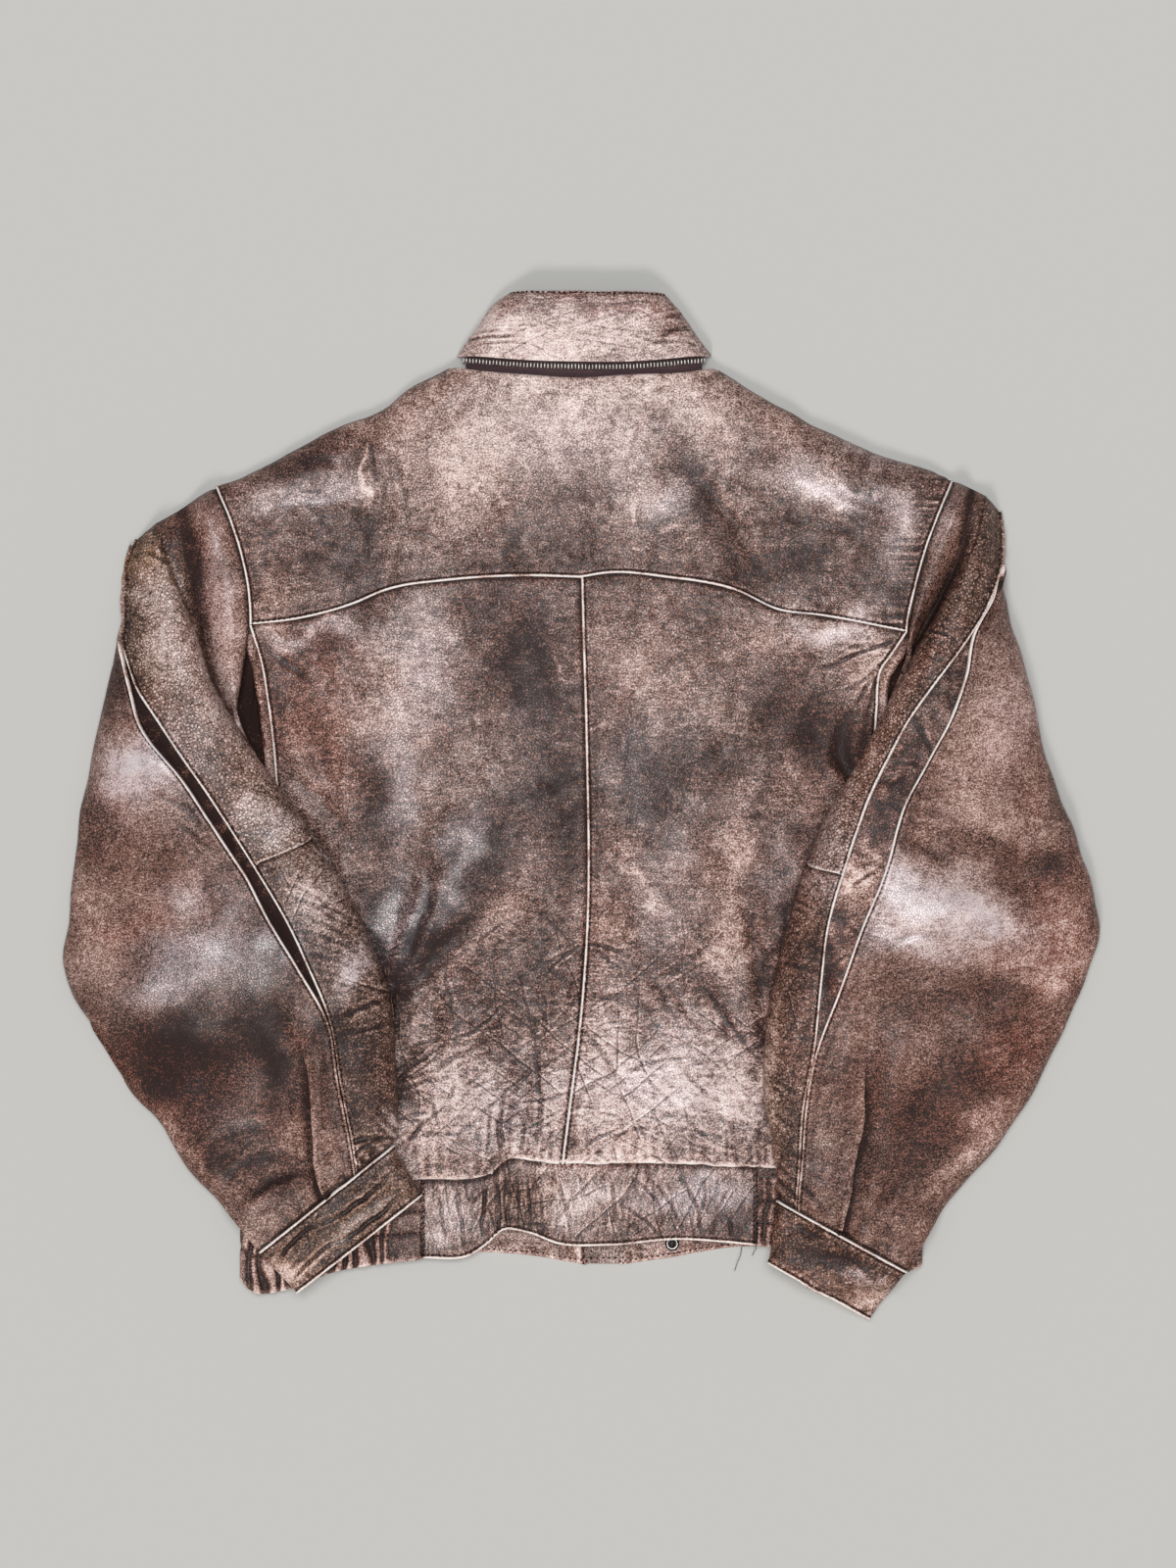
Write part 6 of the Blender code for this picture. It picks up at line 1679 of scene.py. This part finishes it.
def instances_tree(name, sizes_of, shape, material, jitter):
    """A tree that puts a shape at even spacing along the lines of a mesh, square to their facing, and
    the sizes that it is given."""
    inputs = {"Geometry": ("Geometry", None)}
    inputs |= {label: ("Float", value) for label, value in sizes_of.items()}
    tree, w, given, result = new_tree(name, "GeometryNodeTree", inputs, {"Geometry": "Geometry"})
    curve = w.node("GeometryNodeMeshToCurve", {0: given["Geometry"]})
    points = w.node("GeometryNodeResampleCurve", {"Curve": curve, "Length": given["Pitch"]}, mode="LENGTH")
    facing = w.node("GeometryNodeInputNamedAttribute", {"Name": "facing"}, "Attribute",
                    data_type="FLOAT_VECTOR")
    tangent = w.node("GeometryNodeInputTangent", {})
    axes = w.node("FunctionNodeAxesToRotation", {"Primary Axis": facing, "Secondary Axis": tangent},
                  primary_axis="Z", secondary_axis="X")
    sway = w.node("FunctionNodeRandomValue", {"Min": (-0.02, -0.05, -jitter), "Max": (0.02, 0.05, jitter),
                                              "Seed": 3}, "Value", data_type="FLOAT_VECTOR")
    turned = w.node("FunctionNodeRotateRotation", {"Rotation": axes, "Rotate By": sway},
                    rotation_space="LOCAL")
    placed = w.node("GeometryNodeInstanceOnPoints", {"Points": points, "Instance": shape(w, given),
                                                     "Rotation": turned})
    smooth = w.node("GeometryNodeSetShadeSmooth", {0: w.node("GeometryNodeRealizeInstances", {0: placed})})
    finished = w.node("GeometryNodeSetMaterial", {"Geometry": smooth, "Material": material})
    w.fill(result, {"Geometry": finished})
    return tree, sizes_of


def scaled(w, shape, across, up, deep):
    """A shape that is scaled along its three axes."""
    scale = w.node("ShaderNodeCombineXYZ", {"X": across, "Y": up, "Z": deep})
    return w.node("GeometryNodeTransform", {"Geometry": shape, "Scale": scale})


def stitch_tree(material):
    """Stitches: a plump bead of thread for each."""
    def bead(w, given):
        sphere = w.node("GeometryNodeMeshUVSphere", {"Segments": 5, "Rings": 3, "Radius": 0.5}, "Mesh")
        return scaled(w, sphere, given["Length"], given["Thread"], given["Thread"])

    pitch = sizes().stitch
    inputs = {"Pitch": pitch, "Length": pitch * 0.62, "Thread": sizes().thread}
    return instances_tree("jacket_stitches", inputs, bead, material, 0.14)


def tooth_tree(material):
    """Zip teeth: a rounded metal bar for each, square to the line."""
    def bar(w, given):
        cylinder = w.node("GeometryNodeMeshCylinder", {"Vertices": 10, "Radius": 0.5, "Depth": 1.0}, "Mesh")
        lying = w.node("GeometryNodeTransform", {"Geometry": cylinder, "Rotation": (np.pi / 2, 0, 0)})
        return scaled(w, lying, given["Tooth width"], given["Tooth length"], given["Tooth width"])

    inputs = {"Pitch": sizes().tooth, "Tooth width": sizes().tooth * 0.56, "Tooth length": 0.0046}
    return instances_tree("jacket_zip_teeth", inputs, bar, material, 0.02)


def repeated_along(name, lines, tree_and_sizes):
    """A plain mesh of what a tree makes along lines of points in table millimetres."""
    tree, values = tree_and_sizes
    points = np.concatenate([line for line, _ in lines])
    facing = np.concatenate([way for _, way in lines])
    edges, start = [], 0
    for line, _ in lines:
        edges += [(start + i, start + i + 1) for i in range(len(line) - 1)]
        start += len(line)
    guide = bpy.data.meshes.new(name + "_guide")
    guide.from_pydata(((points - (*CENTRE, 0.0)) * MM).tolist(), edges, [])
    guide.attributes.new("facing", "FLOAT_VECTOR", "POINT").data.foreach_set("vector", facing.ravel())
    made = add_object(name, guide)
    modifier = made.modifiers.new("along", "NODES")
    modifier.node_group = tree
    for item in tree.interface.items_tree:
        if item.in_out == "INPUT" and item.name in values:
            modifier[item.identifier] = values[item.name]
    evaluated = made.evaluated_get(bpy.context.evaluated_depsgraph_get())
    mesh = bpy.data.meshes.new_from_object(evaluated)
    mesh.materials.pop(index=0)
    made.modifiers.remove(modifier)
    made.data = mesh
    bpy.data.meshes.remove(guide)
    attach(made, BODY)
    return made


def make_stray_threads(material):
    """The loose ends of thread at the hem."""
    sides, radius = 6, 0.22
    turns = np.linspace(0, 2 * np.pi, sides, endpoint=False)
    ring = np.stack([radius * np.cos(turns), 0 * turns, radius * np.sin(turns)], axis=1)
    points, faces = [], []
    for route in STRAY_THREADS:
        line = hermite(np.arange(len(route)), np.array(route, float), np.linspace(0, len(route) - 1, 17))
        number = np.arange(len(line) * sides).reshape(len(line), sides) + len(points)
        points += (line[:, None] + ring).reshape(-1, 3).tolist()
        faces += quads(number, True).tolist()
        for end in (number[0, ::-1].tolist(), number[-1].tolist()):
            faces += [(end[0], end[i], end[i + 1]) for i in range(1, sides - 1)]
    mesh_object("stray_threads", np.array(points), faces, material)


# ---------------------------------------------------------------- materials

def worn_leather_group():
    """Leather grain whose tops are worn pale and whose valleys hold polishing wax and dirt, with the
    painted highlight, painted shade and bluish painted sheen that its inputs place.
    """
    inputs = {"Vector": ("Vector", None)}
    inputs |= {tone.capitalize(): ("Float", 0.0) for tone in TONES}
    inputs |= {label: ("Float", value) for label, value in (
        ("Fade", 0.0), ("Grain Scale", 600.0), ("Pebble Scale", 340.0), ("Mottle", 1.0), ("Line Turn", 0.6),
        ("Line Spread", 1.1))}
    inputs |= {label: ("Color", (0.5, 0.5, 0.5, 1)) for label in (
        "Base", "Coarse Base", "Rubbed", "Bare", "Bloom", "Deep", "Reddish", "Amber Colour")}
    outputs = {"Color": "Color", "Roughness": "Float", "Coat": "Float", "Height": "Float"}
    tree, w, given, result = new_tree("worn_leather", "ShaderNodeTree", inputs, outputs)
    at, mottle, dark, lines = given["Vector"], given["Mottle"], given["Dark"], given["Lines"]

    # grain: small and large pebbles with cracks between them
    bend = w.node("ShaderNodeTexNoise", {"Vector": at, "Scale": 160.0}, "Color")
    bent = w.node("ShaderNodeVectorMath", {0: bend, 1: (0.0016, 0.0016, 0.0016), 2: at},
                  operation="MULTIPLY_ADD")
    small, large = (w.ramp(w.cells(bent, given[label]), 0.0, 0.30)
                    for label in ("Grain Scale", "Pebble Scale"))
    speckle = w.noise(bent, given["Grain Scale"] * 1.6, 1.5, 0.6)
    pits = w.ramp(speckle, 0.62, 0.38)
    specks = w.ramp(w.noise(at, 420.0, 1.0), 0.66, 0.76)
    pebble_mix = w.clamped(given["Coarse"] * 0.85)
    hairs = w.noise(w.turned(at, given["Line Turn"], Scale=(3.2, 1.0, 1.0)), 460.0, 2.0, 0.6, 0.5)
    tops = small * (1.0 - pebble_mix) + large * pebble_mix

    # fine lines that run three ways, and come and go, with painted shade in their crevices and a painted
    # highlight on one shoulder
    crevices, lit_shoulders = 0.0, 0.0
    for seed, (spread, spacing) in enumerate(((0.5, 0.0105), (-0.5, 0.0115), (-1.1, 0.017)), 1):
        turn = given["Line Turn"] + given["Line Spread"] * spread
        groove, ridge = w.line_family(at, turn, spacing, seed)
        crevices = w.math("MAXIMUM", crevices, groove)
        lit_shoulders = w.math("MAXIMUM", lit_shoulders, ridge)
    crevices, lit_shoulders = crevices * lines, lit_shoulders * lines

    # patches of every size
    clouds = w.noise(at, 12.0, 2.5, 0.5, 0.4) - 0.5
    blotches = w.noise(at, 42.0, 3.0, 0.5, 0.6)
    flecks = w.noise(at, 170.0, 3.0, 0.6, 0.2)
    scratches = w.ramp(abs(w.noise(at, 70.0, 5.0, 0.75, 1.6) - 0.5), 0.008, 0.0)
    scratched = w.ramp(w.noise(at, 24.0, 2.0), 0.50, 0.66)
    ragged = w.ramp(w.noise(at, 62.0, 4.0, 0.6, 1.5), 0.34, 0.66, 0.70, 1.3)

    # level: 0 is the deepest tone, 0.45 the finish itself and 1 bare pale leather; dirt and painted shade
    # lower it, and wear and painted highlight raise it
    grain_share = mottle * 0.3 + 0.7
    crest = w.math("MAXIMUM", w.math("MINIMUM", given["Crest"], 1.3), -1.2)
    level = given["Rub"] * ragged * 0.85 + 0.45 + given["Fade"] - w.math("MINIMUM", dark, 0.95) * 0.58
    level += clouds * 1.15
    level += (blotches - 0.5) * (mottle * 0.70)
    level += (flecks - 0.5) * (mottle * 0.46)
    level -= (pits - 0.42) * 0.64 * grain_share
    level += specks * mottle * 0.12
    level += crest * w.ramp(crest, -0.1, 0.1, 0.48, 0.42)
    level += scratches * scratched * 0.30
    level -= (0.74 - tops) * (grain_share * 0.26 + pebble_mix * 0.42)
    level -= crevices * 0.58
    level += lit_shoulders * 0.30
    level += (hairs - 0.5) * (lines * 1.1 + 0.75)

    base = w.mix(given["Coarse"], given["Base"], given["Coarse Base"])
    tinge = blotches - 0.46 + (w.noise(at, 8.0, 2.0) - 0.47) * 1.8
    base = w.mix(w.clamped((given["Warm"] + tinge) * 0.95), base, given["Reddish"])
    amber = w.clamped(given["Amber"] * w.ramp(blotches, 0.3, 0.62, 0.5, 1.0))
    base = w.mix(amber, base, given["Amber Colour"])
    shade = w.mix(w.ramp(level, -0.04, 0.44), given["Deep"], base)
    shade = w.mix(w.ramp(level, 0.36, 1.20), shade, given["Rubbed"])
    shade = w.mix(w.ramp(level, 1.0, 1.9), shade, given["Bare"])
    # painted sheen: the bluish white is mixed into the colour where the leather is polished
    sheen = w.clamped(given["Polish"] * 0.24 * w.ramp(level, 0.0, 0.9, 0.15, 1.0))

    dull = w.clamped(level * 0.20) + 0.28 + w.clamped(dark * 0.40) + (1.0 - tops) * 0.14
    coat = given["Polish"] * 0.70 + 0.14 + (blotches - 0.5) * 0.5 + (flecks - 0.5) * 0.6
    coat = coat * w.clamped(1.0 - dark) * w.ramp(tops, 0.1, 0.9, 0.45, 1.0)
    height = tops * (pebble_mix * 0.7 + 0.5) + speckle * 0.45 - crevices * 1.6 + flecks * 1.1
    w.fill(result, {"Color": w.mix(sheen, shade, given["Bloom"]), "Roughness": dull + clouds * 0.22,
                    "Coat": w.clamped(coat), "Height": height})
    return tree


def new_material(name):
    """An empty material with its wiring, its shader and where a point is on the object."""
    made = bpy.data.materials.new(name)
    made.use_nodes = True
    w = Wiring(made.node_tree)
    return made, w, w.nodes["Principled BSDF"], w.node("ShaderNodeTexCoord", {}, "Object")


def leather(name, fade, mottle, turn, spread):
    """A leather material; fade lifts the whole of it towards bare leather, mottle is how uneven its
    finish is, and turn and spread say which way its fine lines run."""
    made, w, shader, where = new_material(name)
    grain = w.nodes.new("ShaderNodeGroup")
    grain.node_tree = bpy.data.node_groups.get("worn_leather") or worn_leather_group()
    shades = colours()
    w.fill(grain, {tone.capitalize(): w.node("ShaderNodeAttribute", {}, "Fac", attribute_name=tone)
                   for tone in TONES})
    w.fill(grain, {"Vector": where, "Fade": fade, "Mottle": mottle, "Grain Scale": 1 / sizes().grain,
                   "Pebble Scale": 1 / sizes().pebble, "Line Turn": np.radians(turn),
                   "Line Spread": np.radians(spread)})
    w.fill(grain, {label: (*shade, 1) for label, shade in (
        ("Base", shades.brown), ("Coarse Base", shades.olive), ("Rubbed", shades.rubbed),
        ("Bare", shades.bare), ("Bloom", shades.bloom), ("Deep", shades.deep), ("Reddish", shades.reddish),
        ("Amber Colour", shades.amber))})
    height = grain.outputs["Height"]
    w.fill(shader, {"Base Color": grain.outputs["Color"], "Roughness": grain.outputs["Roughness"],
                    "Specular IOR Level": 0.25, "Normal": w.bump(height, 0.0004),
                    "Coat Weight": grain.outputs["Coat"], "Coat Roughness": 0.34, "Coat IOR": 2.3,
                    "Coat Normal": w.bump(height, 0.00012)})
    return made


def plain(name, value, roughness, metallic=0.0, bump_scale=0.0):
    """Thread, tape, metal or floor: one colour, and if a bump's scale is given, mottled and rough."""
    made, w, shader, where = new_material(name)
    w.fill(shader, {"Base Color": (*value, 1), "Roughness": roughness, "Metallic": metallic})
    if not metallic:
        w.fill(shader, {"Specular IOR Level": 0.1})
    if bump_scale:
        mottle = w.noise(where, bump_scale, 4.0, 0.6)
        darker, paler = ((*(min(channel * share, 1.0) for channel in value), 1) for share in (0.72, 1.22))
        w.fill(shader, {"Base Color": w.mix(w.ramp(mottle, 0.3, 0.7), darker, paler),
                        "Roughness": w.ramp(mottle, 0.2, 0.8, roughness - 0.08, roughness + 0.1),
                        "Normal": w.bump(mottle, 0.0002, 0.5)})
    return made


def material(name):
    """One of the jacket's materials, made when it is first asked for."""
    full_name = "jacket_" + name
    if full_name in bpy.data.materials:
        return bpy.data.materials[full_name]
    if name in LEATHERS:
        return leather(full_name, *LEATHERS[name])
    return plain(full_name, getattr(colours(), name), *PLAIN_FINISHES[name])


# ---------------------------------------------------------------- stage

def make_stage():
    """The floor, the soft light and the camera straight above."""
    mesh = bpy.data.meshes.new("floor")
    corners = ((-1, -1), (1, -1), (1, 1), (-1, 1))
    mesh.from_pydata([(FLOOR_REACH * x, FLOOR_REACH * y, FLOOR_Z) for x, y in corners], [], [(0, 1, 2, 3)])
    mesh.materials.append(plain("floor", colours().floor, 0.85))
    add_object("floor", mesh)

    scene = bpy.context.scene
    scene.world = bpy.data.worlds.new("studio")
    scene.world.use_nodes = True
    background = scene.world.node_tree.nodes["Background"]
    background.inputs["Color"].default_value = (1.0, 0.99, 0.98, 1)
    background.inputs["Strength"].default_value = 0.22
    for name, strength, angle, aim, tint in LAMPS:
        light = bpy.data.lights.new(name, "SUN")
        light.energy, light.angle, light.color = strength, np.radians(angle), tint
        turned = Vector(aim).to_track_quat("-Z", "Y").to_euler()
        add_object(name, light, rotation_euler=turned, location=(0, -1, 2))

    camera = bpy.data.cameras.new("camera")
    camera.sensor_width = 36.0
    camera.lens = camera.sensor_width * CAMERA_AT[2] / SEEN_LENGTH
    scene.camera = add_object("camera", camera, location=CAMERA_AT)
    scene.view_settings.view_transform = "Standard"


# ---------------------------------------------------------------- operators

class JACKET_OT_back(bpy.types.Operator):
    """Make the yoke, the two back panels and the pleats behind them"""

    bl_idname = "jacket.back"
    bl_label = "Back"

    def execute(self, context):
        make_yoke(material("brown"))
        make_back_panels(material("brown"))
        make_pleats(material("brown"))
        return {"FINISHED"}


class JACKET_OT_collar(bpy.types.Operator):
    """Make the collar, the zip's tape and its teeth"""

    bl_idname = "jacket.collar"
    bl_label = "Collar"

    def execute(self, context):
        make_collar(material("pale"))
        make_tape(material("tape"), material("metal"))
        return {"FINISHED"}


class JACKET_OT_waistband(bpy.types.Operator):
    """Make the waistband's back, ruched sides and fronts, and its snap"""

    bl_idname = "jacket.waistband"
    bl_label = "Waistband"

    def execute(self, context):
        make_band_back(material("band"))
        make_band_sides(material("brown"))
        make_band_fronts(material("brown"))
        make_snap(material("snap"))
        return {"FINISHED"}


class JACKET_OT_sleeves(bpy.types.Operator):
    """Make both sleeves and their cuffs"""

    bl_idname = "jacket.sleeves"
    bl_label = "Sleeves"

    def execute(self, context):
        for side in ("left", "right"):
            make_strip(side, "upper", material("olive"))
            make_strip(side, "lower", material("olive"))
            make_sleeve_front(side, material("sleeve"))
            make_gusset(side, material("brown"))
            make_cuff(side, material("olive"))
        return {"FINISHED"}


class JACKET_OT_fronts(bpy.types.Operator):
    """Give the pieces that lie hidden on the floor their leather and tape"""

    bl_idname = "jacket.fronts"
    bl_label = "Fronts"

    def execute(self, context):
        for node, (finish, width, length) in HIDDEN_PIECES.items():
            shown = frame["nodes"][node]
            for slot in shown.material_slots:
                slot.material = material(finish)
        return {"FINISHED"}


class JACKET_OT_stitching(bpy.types.Operator):
    """Sew every seam that the pieces have marked, and leave the loose ends"""

    bl_idname = "jacket.stitching"
    bl_label = "Stitching"

    def execute(self, context):
        if not seams:
            raise RuntimeError("there is nothing to stitch: make the pieces first")
        repeated_along("seam_stitches", seams, stitch_tree(material("thread")))
        make_stray_threads(material("thread"))
        return {"FINISHED"}


class JACKET_OT_stage(bpy.types.Operator):
    """Set up the floor, the light and the camera"""

    bl_idname = "jacket.stage"
    bl_label = "Stage"

    def execute(self, context):
        make_stage()
        return {"FINISHED"}


OPERATORS = (JACKET_OT_back, JACKET_OT_collar, JACKET_OT_waistband, JACKET_OT_sleeves, JACKET_OT_fronts,
             JACKET_OT_stitching, JACKET_OT_stage)


class JACKET_PT_sidebar(bpy.types.Panel):
    """The jacket's sizes, colours and steps"""

    bl_idname = "JACKET_PT_sidebar"
    bl_label = "Worn Leather Jacket"
    bl_space_type = "VIEW_3D"
    bl_region_type = "UI"
    bl_category = "Jacket"

    def draw(self, context):
        for group in (context.scene.jacket_sizes, context.scene.jacket_colours):
            for name in group.__annotations__:
                self.layout.prop(group, name)
        for operator in OPERATORS:
            self.layout.operator(operator.bl_idname)


CLASSES = (JacketSizes, JacketColours, *OPERATORS, JACKET_PT_sidebar)


def register():
    """Registers the classes and the scene's settings."""
    for kind in CLASSES:
        bpy.utils.register_class(kind)
    bpy.types.Scene.jacket_sizes = PointerProperty(type=JacketSizes)
    bpy.types.Scene.jacket_colours = PointerProperty(type=JacketColours)


def unregister():
    """Removes them again."""
    del bpy.types.Scene.jacket_colours
    del bpy.types.Scene.jacket_sizes
    for kind in reversed(CLASSES):
        bpy.utils.unregister_class(kind)


def main():
    """Makes the whole jacket."""
    register()
    bpy.ops.jacket.back()
    bpy.ops.jacket.collar()
    bpy.ops.jacket.waistband()
    bpy.ops.jacket.sleeves()
    bpy.ops.jacket.fronts()
    bpy.ops.jacket.stitching()
    bpy.ops.jacket.stage()


if __name__ == "__main__":
    main()
